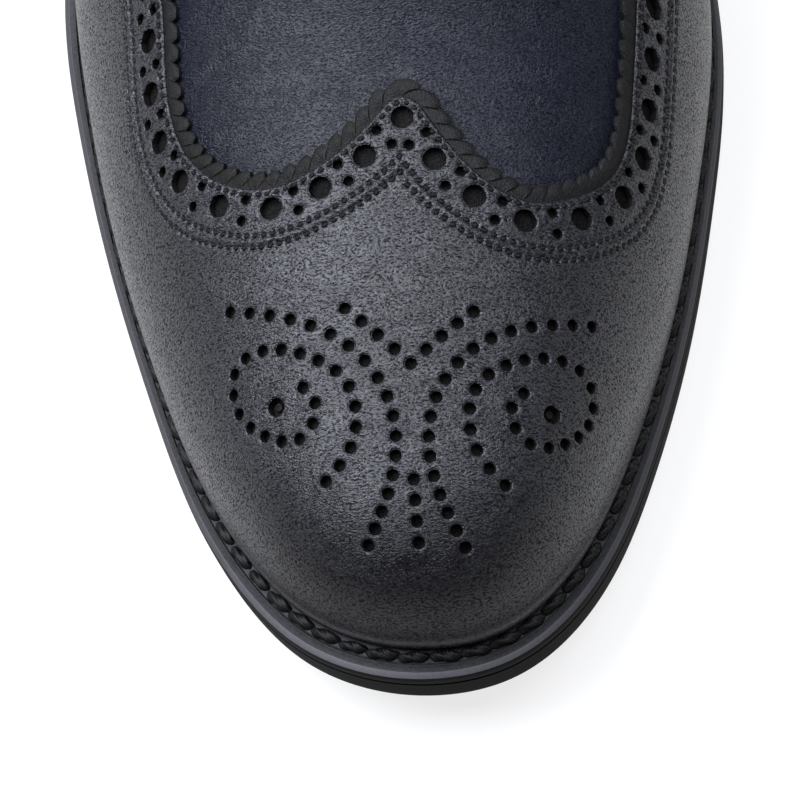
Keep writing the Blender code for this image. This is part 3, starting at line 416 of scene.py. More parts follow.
class Sheet:
    """A grid on the upper's face, its normals, and its flattened pattern.

    Index 0 is the inner side and 1 the outer side; columns run from the toe tip to
    the heel's back and rows from the feather line up, evenly by distance.
    """

    def __init__(self, upper, shares, rows):
        self.upper = upper
        self.shares = np.asarray(shares, float)
        count = len(self.shares)
        ways = np.linspace(0.0, 1.0, 4 * rows + 1)
        self.points = np.zeros((2, count, rows + 1, 3))
        self.rise = np.zeros((2, count))
        self.top = np.zeros((2, count, 2))
        self.across = np.zeros((2, count, 2))
        for k, side in enumerate((1, -1)):
            fine = upper.column(side, self.shares[:, None], ways[None, :])
            steps = np.linalg.norm(np.diff(fine, axis=1), axis=2)
            distance = np.concatenate([np.zeros((count, 1)), np.cumsum(steps, axis=1)], 1)
            self.rise[k] = distance[:, -1]
            for i in range(count):
                even = np.linspace(0.0, distance[i, -1], rows + 1)
                for axis in range(3):
                    self.points[k, i, :, axis] = np.interp(even, distance[i], fine[i, :, axis])
            self.top[k] = upper.top(side, self.shares)[:, :2]
            self.across[k] = upper.direction(side, self.shares)
        self.normals = self.face_normals()

    def face_normals(self):
        along_shoe = np.zeros_like(self.points)
        along_shoe[:, 1:-1] = self.points[:, 2:] - self.points[:, :-2]
        along_shoe[:, 0] = (self.points[0, 1] - self.points[1, 1]) * np.array([[[1.0]], [[-1.0]]])
        along_shoe[:, -1] = (self.points[1, -2] - self.points[0, -2]) * np.array([[[1.0]], [[-1.0]]])
        upward = np.gradient(self.points, axis=2)
        normals = unit(np.cross(along_shoe, upward))
        normals[1] *= -1.0
        closed = self.shares <= self.upper.throat + 1e-6
        normals[:, closed, -1] = unit(normals[0, closed, -2] + normals[1, closed, -2])
        return normals

    def flat(self):
        """The grid's places on the flattened pattern."""
        count = self.points.shape[2]
        down = self.rise[:, :, None] * np.linspace(1.0, 0.0, count)
        return self.top[:, :, None] + self.across[:, :, None] * down[..., None]

    def place(self, flat):
        """Points on the face, and its normals, for places on the flattened pattern."""
        flat = np.asarray(flat, float)
        points = np.zeros((len(flat), 3))
        normals = np.zeros((len(flat), 3))
        axis = np.interp(flat[:, 1], self.top[0, :, 1], 0.5 * (self.top[0, :, 0] + self.top[1, :, 0]))
        before = (flat[:, 1] - self.top[0, 0, 1]) / self.across[0, 0, 1]
        nose = self.top[0, 0] + self.across[0, 0] * before[:, None]
        axis = np.where(flat[:, 1] < self.top[0, 0, 1], nose[:, 0], axis)
        for k, side in enumerate((1, -1)):
            mine = np.flatnonzero((flat[:, 0] >= axis) if side == 1 else (flat[:, 0] < axis))
            for part in np.array_split(mine, max(1, len(mine) // 2500)):
                points[part], normals[part] = self.place_side(k, side, flat[part])
        return points, normals

    def place_side(self, k, side, flat):
        if not len(flat):
            return np.zeros((0, 3)), np.zeros((0, 3))
        away_x = flat[:, 0, None] - self.top[k][None, :, 0]
        away_y = flat[:, 1, None] - self.top[k][None, :, 1]
        turn = side * (away_x * self.across[k][None, :, 1] - away_y * self.across[k][None, :, 0])
        change = (turn[:, :-1] <= 0.0) & (turn[:, 1:] > 0.0)
        nearest = np.minimum(np.abs(turn).argmin(1), turn.shape[1] - 2)
        column = np.where(change.any(1), change.argmax(1), nearest)
        index = np.arange(len(flat))
        before = turn[index, column]
        after = turn[index, column + 1]
        part = np.clip(-before / np.where(after - before == 0.0, 1.0, after - before), 0.0, 1.0)
        top = self.top[k][column] + (self.top[k][column + 1] - self.top[k][column]) * part[:, None]
        rise = self.rise[k][column] + (self.rise[k][column + 1] - self.rise[k][column]) * part
        down = np.linalg.norm(flat - top, axis=1)
        return self.at(k, column + part, 1.0 - down / rise)

    def at(self, k, column, way):
        """Points and normals at a place between columns and a way up from the feather."""
        column = np.clip(column, 0.0, len(self.shares) - 1 - 1e-9)
        left = np.asarray(column, float).astype(int)
        part = (column - left)[..., None]
        count = self.points.shape[2] - 1
        row = np.clip(np.asarray(way, float) * count, 0.0, count - 1e-9)
        low = row.astype(int)
        up = (row - low)[..., None]
        values = []
        for grid in (self.points[k], self.normals[k]):
            first = grid[left, low] * (1.0 - up) + grid[left, low + 1] * up
            last = grid[left + 1, low] * (1.0 - up) + grid[left + 1, low + 1] * up
            values.append(first * (1.0 - part) + last * part)
        return values[0], unit(values[1])

    def column_at(self, share):
        return np.interp(share, self.shares, np.arange(len(self.shares)))


def to_frame(points):
    """From (x, length from the toe, height) to the shoe's frame."""
    points = np.array(points, float)
    points[..., 1] -= 0.5 * SHOE_LENGTH
    return points


def eyelet_places(upper):
    """Length from the toe of each pair of eyelets."""
    return np.linspace(FIRST_EYELET, LAST_EYELET, EYELET_PAIRS) * SHOE_LENGTH


def face_frame(sheet, side, length, inset):
    """A point on the facing at an inset from its edge, and the face's normal there."""
    k = 0 if side == 1 else 1
    share = np.interp(length, sheet.upper.ridge_length, sheet.upper.shares)
    column = np.interp(share, sheet.shares, np.arange(len(sheet.shares)))
    left = int(column)
    part = column - left
    rise = sheet.rise[k, left] * (1 - part) + sheet.rise[k, left + 1] * part
    count = sheet.points.shape[2] - 1
    row = np.clip((1.0 - inset / rise) * count, 0.0, count - 1e-6)
    low = int(row)
    up = row - low
    values = []
    for grid in (sheet.points[k], sheet.normals[k]):
        a = grid[left, low] * (1 - up) + grid[left, low + 1] * up
        b = grid[left + 1, low] * (1 - up) + grid[left + 1, low + 1] * up
        values.append(a * (1 - part) + b * part)
    return values[0], unit(values[1])


class Pattern:
    """Places on the flattened upper, measured from the ridge line."""

    def __init__(self, sheet):
        self.length = sheet.top[0, :, 1]
        self.middle = 0.5 * (sheet.top[0, :, 0] + sheet.top[1, :, 0])
        self.nose = sheet.top[0, 0]
        self.ahead = sheet.across[0, 0]

    def axis(self, length):
        before = self.nose[0] + self.ahead[0] * (length - self.nose[1]) / self.ahead[1]
        return np.where(length < self.nose[1], before, np.interp(length, self.length, self.middle))

    def wing(self, side, shift, spacing):
        """The wing's line on one side, moved towards the vamp by a shift."""
        rows = np.array(INNER_WING if side == 1 else OUTER_WING) * (SHOE_WIDTH, SHOE_LENGTH)
        line = Curve(along(rows), rows)
        dense = line(np.linspace(0.0, line.t[-1], 600))
        step = unit(np.gradient(dense, axis=0))
        moved = dense + shift * np.stack([-step[:, 1], step[:, 0]], -1)
        if shift > 0.0:
            first = unit(moved[0] - dense[0])
            turn = np.linspace(0.0, np.arctan2(first[0], first[1]), 6)[:-1]
            corner = dense[0] + shift * np.stack([np.sin(turn), np.cos(turn)], -1)
            moved = np.vstack([corner, moved])
        else:
            inside = moved[:, 0] > 0.0
            start = int(np.argmax(inside))
            before, after = moved[start - 1], moved[start]
            part = before[0] / (before[0] - after[0])
            moved = np.vstack([before + (after - before) * part, moved[start:]])
        distance = along(moved)
        count = max(2, int(round(distance[-1] / spacing)) + 1)
        even = np.linspace(0.0, distance[-1], count)
        x = np.interp(even, distance, moved[:, 0])
        y = np.interp(even, distance, moved[:, 1])
        return np.stack([side * x + self.axis(y), y], -1)


def cross(a, b):
    return a[..., 0] * b[..., 1] - a[..., 1] * b[..., 0]


def cut_at(line, border):
    """The line up to where it first meets the border line; also the border's place."""
    for i in range(len(line) - 1):
        step = line[i + 1] - line[i]
        sides = border[1:] - border[:-1]
        bottom = cross(step, sides)
        bottom = np.where(np.abs(bottom) < 1e-15, 1e-15, bottom)
        away = border[:-1] - line[i]
        part = cross(away, sides) / bottom
        place = cross(away, step) / bottom
        hit = (part >= 0.0) & (part <= 1.0) & (place >= 0.0) & (place <= 1.0)
        if hit.any():
            k = int(np.argmax(hit))
            meet = line[i] + step * part[k]
            return np.vstack([line[: i + 1], meet]), k
    return line, len(border) - 2


def inside(points, ring):
    """Whether each point lies inside a closed ring."""
    result = np.zeros(len(points), bool)
    for a, b in zip(ring, np.roll(ring, -1, 0)):
        spans = (a[1] > points[:, 1]) != (b[1] > points[:, 1])
        slope = (b[0] - a[0]) / (b[1] - a[1] if b[1] != a[1] else 1e-15)
        result ^= spans & (points[:, 0] < a[0] + slope * (points[:, 1] - a[1]))
    return result


# Sizes that only the looks have, in metres
CAP_TOP = GAP + WING_THICKNESS
CAP_FLOOR = 0.00025
NEAR_ROW = 0.0041
FAR_ROW = 0.0060
EDGE_ROW = 0.0009
STITCH_PITCH = 0.0016
LARGE_HOLE = 0.0019
SMALL_HOLE = 0.00087
MEDALLION_HOLE = 0.0010
STUD_HOLE = 0.0015
TOOTH_PITCH = 0.0032
QUARTER_STEP = 0.0007
WELT_STITCH_PITCH = 0.0057

# The medallion on the flattened cap: distance from the ridge line and length from
# the toe, in millimetres. Each stroke has its number of holes and is mirrored
LONG_STROKE = ((30.4, 53.5), (19.3, 50.5), (9.5, 45.2), (3.8, 37.0), (2.6, 29.0), (4.5, 20.6), (7.7, 13.8))
SPIRAL = (
    (14.2, 23.9),
    (10.3, 28.3),
    (8.9, 34.1),
    (10.5, 39.8),
    (16.5, 44.2),
    (24.0, 46.1),
    (29.8, 44.1),
    (30.7, 38.3),
    (25.0, 32.3),
    (17.8, 31.5),
    (15.6, 36.3),
    (17.7, 39.3),
)
CHEVRON = ((10.1, 51.5), (5.0, 47.1), (0.0, 42.5))
STEM = ((0.1, 24.0), (0.5, 14.3))
STUDS = (22.6, 36.7)
TURN = 0.065

# The seam where the quarters meet the vamp: distance from the ridge line as a share
# of width, share of length
SEAM = ((0.000, 0.360), (0.070, 0.364), (0.180, 0.378), (0.330, 0.405), (0.480, 0.440), (0.640, 0.490))


# Building meshes

def add_piece(name, points, faces, slots, materials, normals=None):
    """A finished mesh in the shoe's frame; slots gives each face's material."""
    mesh = bpy.data.meshes.new(name)
    mesh.from_pydata([tuple(p) for p in to_frame(points)], [], [tuple(f) for f in faces])
    for made in materials:
        mesh.materials.append(made)
    mesh.polygons.foreach_set("material_index", np.asarray(slots, np.int32))
    mesh.polygons.foreach_set("use_smooth", np.ones(len(faces), bool))
    mesh.update()
    if normals is not None:
        mesh.normals_split_custom_set([tuple(n) for n in normals])
    thing = bpy.data.objects.new(name, mesh)
    bpy.context.scene.collection.objects.link(thing)
    return thing


def finish_piece(thing, nodes):
    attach(thing, "root")
    if nodes:
        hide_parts(*nodes)


def outward(thing, angle=None):
    """Turns all faces outward, and keeps edges sharper than an angle sharp."""
    built = bmesh.new()
    built.from_mesh(thing.data)
    bmesh.ops.remove_doubles(built, verts=built.verts, dist=0.000001)
    bmesh.ops.recalc_face_normals(built, faces=built.faces)
    if built.calc_volume(signed=True) < 0.0:
        bmesh.ops.reverse_faces(built, faces=built.faces)
    built.to_mesh(thing.data)
    built.free()
    if angle is not None:
        thing.data.set_sharp_from_angle(angle=np.radians(angle))
    return thing


def borders(faces):
    """The open edges of a patch of faces, in the faces' own direction."""
    edges = set()
    for face in faces:
        for a, b in zip(face, face[1:] + face[:1]):
            edges.add((a, b))
    return [(a, b) for a, b in edges if (b, a) not in edges]


def nearest(targets, places):
    """The number of the nearest target, and its distance, for each flat place."""
    tree = KDTree(len(targets))
    for i, p in enumerate(targets):
        tree.insert((p[0], p[1], 0.0), i)
    tree.balance()
    found = [tree.find((x, y, 0.0)) for x, y in places]
    return np.array([f[1] for f in found]), np.array([f[2] for f in found])


def raised(sheet, flat, height):
    points, normals = sheet.place(flat)
    return points + normals * np.broadcast_to(height, (len(points),))[:, None]


def circle(sheet, centre, radius, count, phase=0.0):
    """A true circle on the face, as places on the flattened pattern."""
    d = 0.0002
    around = np.array([centre, centre + (d, 0.0), centre + (0.0, d)])
    points, normals = sheet.place(around)
    slope = np.stack([points[1] - points[0], points[2] - points[0]], 1) / d
    values, vectors = np.linalg.eigh(slope.T @ slope)
    spread = vectors @ np.diag(1.0 / np.sqrt(values)) @ vectors.T
    turn = np.linspace(0.0, 2.0 * np.pi, count, endpoint=False) + phase
    return centre + radius * np.stack([np.cos(turn), np.sin(turn)], -1) @ spread.T


# Where things lie on the flattened upper

def stroke(rows, count, narrowing=1.0):
    """Holes along a stroke; narrowing is the last spacing as a share of the first."""
    rows = np.array(rows)
    line = Curve(along(rows), rows) if len(rows) > 2 else None
    way = np.linspace(0.0, 1.0, count)
    way = way * (1.0 + 0.5 * (1.0 / narrowing - 1.0) * (1.0 - way)) if narrowing != 1.0 else way
    if line is None:
        return rows[0] + (rows[1] - rows[0]) * way[:, None]
    fine = line(np.linspace(0.0, line.t[-1], 400))
    distance = along(fine)
    return np.stack([np.interp(way * distance[-1], distance, fine[:, i]) for i in (0, 1)], -1)


def on_cap(pattern, rows, side):
    """Places for medallion rows in millimetres; the figure is turned a little, as worn."""
    rows = np.asarray(rows, float)
    x = side * rows[:, 0] * 0.001
    y = rows[:, 1] * 0.001 - TURN * x
    return np.stack([x + pattern.axis(y), y], -1)


def medallion(pattern):
    """Centres and radii of the medallion's holes."""
    centres = []
    radii = []
    for side in (1, -1):
        for rows in (stroke(LONG_STROKE, 18, 0.75), stroke(SPIRAL, 22), stroke(CHEVRON, 5)[:-1]):
            centres.append(on_cap(pattern, rows, side))
            radii += [MEDALLION_HOLE] * len(rows)
        centres.append(on_cap(pattern, [STUDS], side))
        radii.append(STUD_HOLE)
    for rows in (stroke(STEM, 4), stroke(CHEVRON, 5)[-1:]):
        centres.append(on_cap(pattern, rows, 1))
        radii += [MEDALLION_HOLE] * len(rows)
    return np.vstack(centres), np.array(radii)


def wing_holes(pattern, feather):
    """The wing's large holes in a row, and a pair of small ones between each two."""
    centres = []
    radii = []
    for k, side in enumerate((1, -1)):
        line = cut_at(pattern.wing(side, 0.0, 0.0002), feather[k])[0]
        distance = along(line)
        numbers = np.arange(1, 40)
        spacing = 0.0085 + 0.0021 * np.exp(-(((numbers - 4.6) / 1.1) ** 2))
        ways = np.concatenate([[0.0], np.cumsum(spacing)])
        ways = ways[ways < distance[-1] - 0.003]
        step = unit(np.gradient(line, axis=0))
        across = side * np.stack([-step[:, 1], step[:, 0]], -1)

        def at(way, shift):
            row = [np.interp(way, distance, line[:, i] + shift * across[:, i]) for i in (0, 1)]
            return np.stack(row, -1)

        first = 0 if side == 1 else 1
        centres.append(at(ways[first:], 0.0))
        radii += [LARGE_HOLE] * (len(ways) - first)
        between = 0.5 * (ways[:-1] + ways[1:])
        for shift in (0.0017, -0.0017):
            centres.append(at(between, shift))
            radii += [SMALL_HOLE] * len(between)
    return np.vstack(centres), np.array(radii)


def feather_lines(sheet, lift):
    """The feather line on the flattened pattern, on each side."""
    share = 1.0 - lift / sheet.rise
    return sheet.top + sheet.across * (sheet.rise * share)[..., None]


def seam_line(pattern, side, shift, spacing):
    """The quarter's front seam on one side, moved back by a shift."""
    rows = np.array(SEAM) * (SHOE_WIDTH, SHOE_LENGTH)
    line = Curve(along(rows), rows)
    dense = line(np.linspace(0.0, line.t[-1], 400))
    step = unit(np.gradient(dense, axis=0))
    moved = dense + shift * np.stack([-step[:, 1], step[:, 0]], -1)
    distance = along(moved)
    even = np.linspace(0.0, distance[-1], max(2, int(round(distance[-1] / spacing)) + 1))
    x = np.interp(even, distance, moved[:, 0])
    y = np.interp(even, distance, moved[:, 1])
    return np.stack([side * x + pattern.axis(y), y], -1)


def seam_distance(pattern, places):
    """How far each place lies behind the quarter's front seam."""
    result = np.zeros(len(places))
    axis = pattern.axis(places[:, 1])
    for side in (1, -1):
        mine = np.flatnonzero((places[:, 0] - axis) * side >= 0.0)
        line = seam_line(pattern, side, 0.0, 0.0005)
        index, gap = nearest(line, places[mine])
        step = np.gradient(line, axis=0)[index]
        turn = side * cross(step, places[mine] - line[index])
        result[mine] = gap * np.sign(turn)
    return result


# The winged cap

class Cap:
    """The cap's height above the upper's face, with its holes and stitch rows."""

    def __init__(self, sheet, pattern):
        self.sheet = sheet
        self.pattern = pattern
        self.feather = feather_lines(sheet, 0.0004)
        self.lines = [pattern.wing(side, 0.0, 0.0003) for side in (1, -1)]
        holes = [medallion(pattern), wing_holes(pattern, self.feather)]
        self.centres = np.vstack([h[0] for h in holes])
        self.radii = np.concatenate([h[1] for h in holes])
        self.rows = {}
        for name, shift in (("near", -NEAR_ROW), ("far", -FAR_ROW), ("edge", HOLES_TO_EDGE - EDGE_ROW)):
            both = []
            for k, side in enumerate((1, -1)):
                both.append(cut_at(pattern.wing(side, shift, STITCH_PITCH), self.feather[k])[0])
            self.rows[name] = both
        self.keep_holes()

    def keep_holes(self):
        """Drops holes too near the feather or the edge."""
        gap = np.min([nearest(line, self.centres)[1] for line in self.feather], axis=0)
        keep = gap > self.radii + 0.0010
        self.centres = self.centres[keep]
        self.radii = self.radii[keep]

    def from_holes_row(self, places):
        """Distance from the row of large holes, more than nothing towards the vamp."""
        result = np.zeros(len(places))
        axis = self.pattern.axis(places[:, 1])
        for line, side in zip(self.lines, (1, -1)):
            mine = np.flatnonzero((places[:, 0] - axis) * side >= 0.0)
            if not len(mine):
                continue
            index, gap = nearest(line, places[mine])
            step = np.gradient(line, axis=0)[index]
            away = side * cross(unit(step), places[mine] - line[index])
            result[mine] = np.where(index == 0, gap * np.sign(away), away)
        return result

    def height(self, places):
        away = self.from_holes_row(places)
        height = np.full(len(places), CAP_TOP)
        folded = np.clip((HOLES_TO_EDGE - away) / 0.0010, 0.0, 1.0)
        height -= 0.00055 * (1.0 - np.sqrt(1.0 - (1.0 - folded) ** 2))
        middle = 0.5 * (NEAR_ROW + FAR_ROW)
        seats = np.vstack([0.5 * (line[1:] + line[:-1]) for both in self.rows.values() for line in both])
        gap = nearest(seats, places)[1]
        puff = 0.55 + 0.45 * smooth_step((gap - 0.00090) / 0.00035)
        height += 0.00034 * puff * np.exp(-(((away + middle) / 0.00060) ** 2))
        for row in (NEAR_ROW, FAR_ROW):
            height -= 0.00010 * np.exp(-(((away + row) / 0.00040) ** 2))
        height -= 0.00008 * np.exp(-(((away - HOLES_TO_EDGE + EDGE_ROW) / 0.00030) ** 2))
        height -= 0.00034 * np.exp(-((gap / 0.00046) ** 4))
        index, gap = nearest(self.centres, places)
        rim = gap - self.radii[index]
        height += 0.00008 * np.exp(-(((rim - 0.00042) / 0.00028) ** 2))
        height -= 0.00012 * np.exp(-((np.clip(rim, 0.0, None) / 0.00013) ** 2))
        return height

    def surface(self, places):
        return raised(self.sheet, places, self.height(places))

    def surface_normals(self, places):
        d = 0.00009
        right = self.surface(places + (d, 0.0)) - self.surface(places - (d, 0.0))
        ahead = self.surface(places + (0.0, d)) - self.surface(places - (0.0, d))
        return unit(np.cross(right, ahead))

    def grid(self, ring):
        """Places inside the cap: coarse, with fine ones by the holes' row and stitches."""
        low = ring.min(0)
        high = ring.max(0)
        places = []
        for spacing, fine in ((0.00085, False), (0.00040, True)):
            xs = np.arange(low[0], high[0], spacing)
            ys = np.arange(low[1], high[1], spacing * 0.866)
            grid = np.stack(np.meshgrid(xs, ys), -1)
            grid[1::2, :, 0] += 0.5 * spacing
            grid = grid.reshape(-1, 2)
            grid = grid[inside(grid, ring)]
            away = self.from_holes_row(grid)
            in_band = (away < -NEAR_ROW + 0.0009) & (away > -FAR_ROW - 0.0009)
            in_band |= away > HOLES_TO_EDGE - EDGE_ROW - 0.0006
            places.append(grid[in_band if fine else ~in_band])
        places = np.vstack(places)
        places = places[nearest(ring, places)[1] > 0.00028]
        index, gap = nearest(self.centres, places)
        return places[gap > self.radii[index] + 0.00055]

    def build(self, leather, edge):
        halves = []
        for k, side in enumerate((1, -1)):
            line, meet = cut_at(self.pattern.wing(side, HOLES_TO_EDGE, 0.0005), self.feather[k])
            halves.append(np.vstack([line, self.feather[k][: meet + 1][::-1]]))
        ring = np.vstack([halves[0], halves[1][::-1][1:-1]])
        places = [ring]
        edges = [(i, (i + 1) % len(ring)) for i in range(len(ring))]
        start = len(ring)
        for centre, radius in zip(self.centres, self.radii):
            count = 32 if radius > 0.0012 else 20
            places.append(circle(self.sheet, centre, radius, count))
            edges += [(start + i, start + (i + 1) % count) for i in range(count)]
            start += count
            for grow in (0.00014, 0.00036):
                phase = 0.0 if grow < 0.0002 else 0.15
                places.append(circle(self.sheet, centre, radius + grow, count, phase))
                start += count
        places.append(self.grid(ring))
        places = np.vstack(places)
        flat = [Vector((p[0] * 1000.0, p[1] * 1000.0)) for p in places]
        result = delaunay_2d_cdt(flat, edges, [], 1, 0.0001)
        places = np.array([(v.x / 1000.0, v.y / 1000.0) for v in result[0]])
        faces = np.array([tuple(f) for f in result[2]])
        middles = places[faces].mean(1)
        index, gap = nearest(self.centres, middles)
        faces = faces[gap > self.radii[index] * 0.97]
        used = np.unique(faces)
        renumber = np.full(len(places), -1)
        renumber[used] = np.arange(len(used))
        places = places[used]
        faces = [tuple(int(i) for i in renumber[f]) for f in faces]
        outer = self.surface(places)
        normals = self.surface_normals(places)
        inner = raised(self.sheet, places, CAP_FLOOR)
        count = len(places)
        points = np.vstack([outer, inner])
        solid = list(faces) + [tuple(i + count for i in face[::-1]) for face in faces]
        loops = [normals[i] for face in faces for i in face]
        loops += [-normals[i] for face in faces for i in face[::-1]]
        slots = [0] * len(faces) + [1] * len(faces)
        for a, b in borders(faces):
            solid.append((b, a, a + count, b + count))
            wall = np.cross(outer[a] - outer[b], inner[a] - outer[a])
            wall = wall / max(np.linalg.norm(wall), 1e-12)
            loops += [wall] * 4
            slots.append(1)
        return add_piece("leather_cap", points, solid, slots, [leather, edge], loops)


def make_studs(cap, made):
    """The small stud in each of the medallion's ring holes."""
    centres = cap.centres[np.abs(cap.radii - STUD_HOLE) < 1e-9]
    profile = ((0.00072, 0.00008), (0.00072, 0.00042), (0.00060, 0.00062), (0.00036, 0.00066),
               (0.00022, 0.00050))
    around = 24
    points = []
    faces = []
    for centre in centres:
        start = len(points)
        for radius, height in profile:
            points += list(raised(cap.sheet, circle(cap.sheet, centre, radius, around), height))
        for level in range(len(profile) - 1):
            for i in range(around):
                a = start + level * around + i
                b = start + level * around + (i + 1) % around
                faces.append((a, b, b + around, a + around))
        last = start + (len(profile) - 1) * around
        faces.append(tuple(range(last, last + around)))
        faces.append(tuple(range(start, start + around))[::-1])
    thing = add_piece("ring_studs", np.array(points), faces, [0] * len(faces), [made])
    return outward(thing, 40)


# Stitches and other repeated shapes

def repeat_tree(name):
    """A node tree that sets one shape at each point, along and up by the point's own sides."""
    tree = bpy.data.node_groups.new(name, "GeometryNodeTree")
    face = tree.interface
    face.new_socket("Geometry", in_out="INPUT", socket_type="NodeSocketGeometry")
    face.new_socket("Shape", in_out="INPUT", socket_type="NodeSocketObject")
    face.new_socket("Length", in_out="INPUT", socket_type="NodeSocketFloat")
    face.new_socket("Width", in_out="INPUT", socket_type="NodeSocketFloat")
    face.new_socket("Unevenness", in_out="INPUT", socket_type="NodeSocketFloat")
    face.new_socket("Seed", in_out="INPUT", socket_type="NodeSocketInt")
    face.new_socket("Material", in_out="INPUT", socket_type="NodeSocketMaterial")
    face.new_socket("Geometry", in_out="OUTPUT", socket_type="NodeSocketGeometry")

    def node(kind, **settings):
        made = tree.nodes.new(kind)
        for key, value in settings.items():
            setattr(made, key, value)
        return made

    given = node("NodeGroupInput")
    result = node("NodeGroupOutput")
    link = tree.links.new
    shape = node("GeometryNodeObjectInfo")
    link(given.outputs["Shape"], shape.inputs["Object"])
    turns = []
    for attribute, axis, pivot in (("way", "X", "AUTO"), ("up", "Z", "X")):
        read = node("GeometryNodeInputNamedAttribute", data_type="FLOAT_VECTOR")
        read.inputs["Name"].default_value = attribute
        turn = node("FunctionNodeAlignRotationToVector", axis=axis, pivot_axis=pivot)
        link(read.outputs["Attribute"], turn.inputs["Vector"])
        if turns:
            link(turns[-1].outputs["Rotation"], turn.inputs["Rotation"])
        turns.append(turn)
    uneven = node("FunctionNodeRandomValue", data_type="FLOAT")
    link(given.outputs["Seed"], uneven.inputs["Seed"])
    low = node("ShaderNodeMath", operation="SUBTRACT")
    low.inputs[0].default_value = 1.0
    link(given.outputs["Unevenness"], low.inputs[1])
    high = node("ShaderNodeMath", operation="ADD")
    high.inputs[0].default_value = 1.0
    link(given.outputs["Unevenness"], high.inputs[1])
    link(low.outputs[0], uneven.inputs[2])
    link(high.outputs[0], uneven.inputs[3])
    size = node("ShaderNodeCombineXYZ")
    link(given.outputs["Length"], size.inputs[0])
    link(given.outputs["Width"], size.inputs[1])
    link(given.outputs["Width"], size.inputs[2])
    scale = node("ShaderNodeVectorMath", operation="SCALE")
    link(size.outputs[0], scale.inputs[0])
    link(uneven.outputs[1], scale.inputs["Scale"])
    spread = node("GeometryNodeInstanceOnPoints")
    link(given.outputs["Geometry"], spread.inputs["Points"])
    link(shape.outputs["Geometry"], spread.inputs["Instance"])
    link(turns[-1].outputs["Rotation"], spread.inputs["Rotation"])
    link(scale.outputs[0], spread.inputs["Scale"])
    real = node("GeometryNodeRealizeInstances")
    link(spread.outputs["Instances"], real.inputs["Geometry"])
    paint = node("GeometryNodeSetMaterial")
    link(real.outputs["Geometry"], paint.inputs["Geometry"])
    link(given.outputs["Material"], paint.inputs["Material"])
    link(paint.outputs["Geometry"], result.inputs["Geometry"])
    return tree


def repeat(name, tree, shape, places, ways, ups, length, width, unevenness, seed, made):
    """One mesh with the shape at every place, by the node tree."""
    mesh = bpy.data.meshes.new(name)
    mesh.from_pydata([tuple(p) for p in to_frame(places)], [], [])
    for key, values in (("way", ways), ("up", ups)):
        layer = mesh.attributes.new(key, "FLOAT_VECTOR", "POINT")
        layer.data.foreach_set("vector", np.asarray(values, np.float32).reshape(-1))
    holder = bpy.data.objects.new(name + "_points", mesh)
    bpy.context.scene.collection.objects.link(holder)
    modifier = holder.modifiers.new("repeat", "NODES")
    modifier.node_group = tree
    values = {"Shape": shape, "Length": length, "Width": width, "Unevenness": unevenness}
    values.update({"Seed": seed, "Material": made})
    for item in tree.interface.items_tree:
        if item.in_out == "INPUT" and item.name in values:
            modifier[item.identifier] = values[item.name]
    holder.update_tag()
    graph = bpy.context.evaluated_depsgraph_get()
    result = bpy.data.meshes.new_from_object(holder.evaluated_get(graph), depsgraph=graph)
    result.name = name
    result.polygons.foreach_set("use_smooth", np.ones(len(result.polygons), bool))
    if not result.materials:
        result.materials.append(made)
    bpy.data.objects.remove(holder, do_unlink=True)
    thing = bpy.data.objects.new(name, result)
    bpy.context.scene.collection.objects.link(thing)
    return thing


def shape_object(name, points, faces):
    mesh = bpy.data.meshes.new(name)
    mesh.from_pydata([tuple(p) for p in points], [], [tuple(f) for f in faces])
    thing = bpy.data.objects.new(name, mesh)
    bpy.context.scene.collection.objects.link(thing)
    return thing


def thread_shape(name, rings, around, strands, twist, flat, rise):
    """One stitch, one long and one wide: a short twisted rope with its ends sunk."""
    points = []
    for way in np.linspace(-1.0, 1.0, rings):
        fat = np.sqrt(max(1.0 - abs(way) ** 3.0, 0.04))
        for turn in np.linspace(0.0, 2.0 * np.pi, around, endpoint=False):
            radius = 0.5 * fat * (1.0 + 0.16 * np.cos(strands * (turn - twist * way)))
            height = flat * radius * np.sin(turn) + rise * (1.0 - way * way) - rise
            points.append((0.5 * way, radius * np.cos(turn), height))
    faces = []
    for i in range(rings - 1):
        for j in range(around):
            a = i * around + j
            b = i * around + (j + 1) % around
            faces.append((a, b, b + around, a + around))
    faces.append(tuple(range(around))[::-1])
    last = (rings - 1) * around
    faces.append(tuple(range(last, last + around)))
    return shape_object(name, points, faces)


def stitch_row(lines, heights, sheet):
    """Middles, directions and face normals of the stitches along flat rows of ends."""
    places = []
    ways = []
    ups = []
    for line, height in zip(lines, heights):
        points, normals = sheet.place(line)
        points = points + normals * np.broadcast_to(height, (len(points),))[:, None]
        places.append(0.5 * (points[1:] + points[:-1]))
        ways.append(unit(points[1:] - points[:-1]))
        ups.append(unit(normals[1:] + normals[:-1]))
    return np.vstack(places), np.vstack(ways), np.vstack(ups)


# The toothed strip along the wing

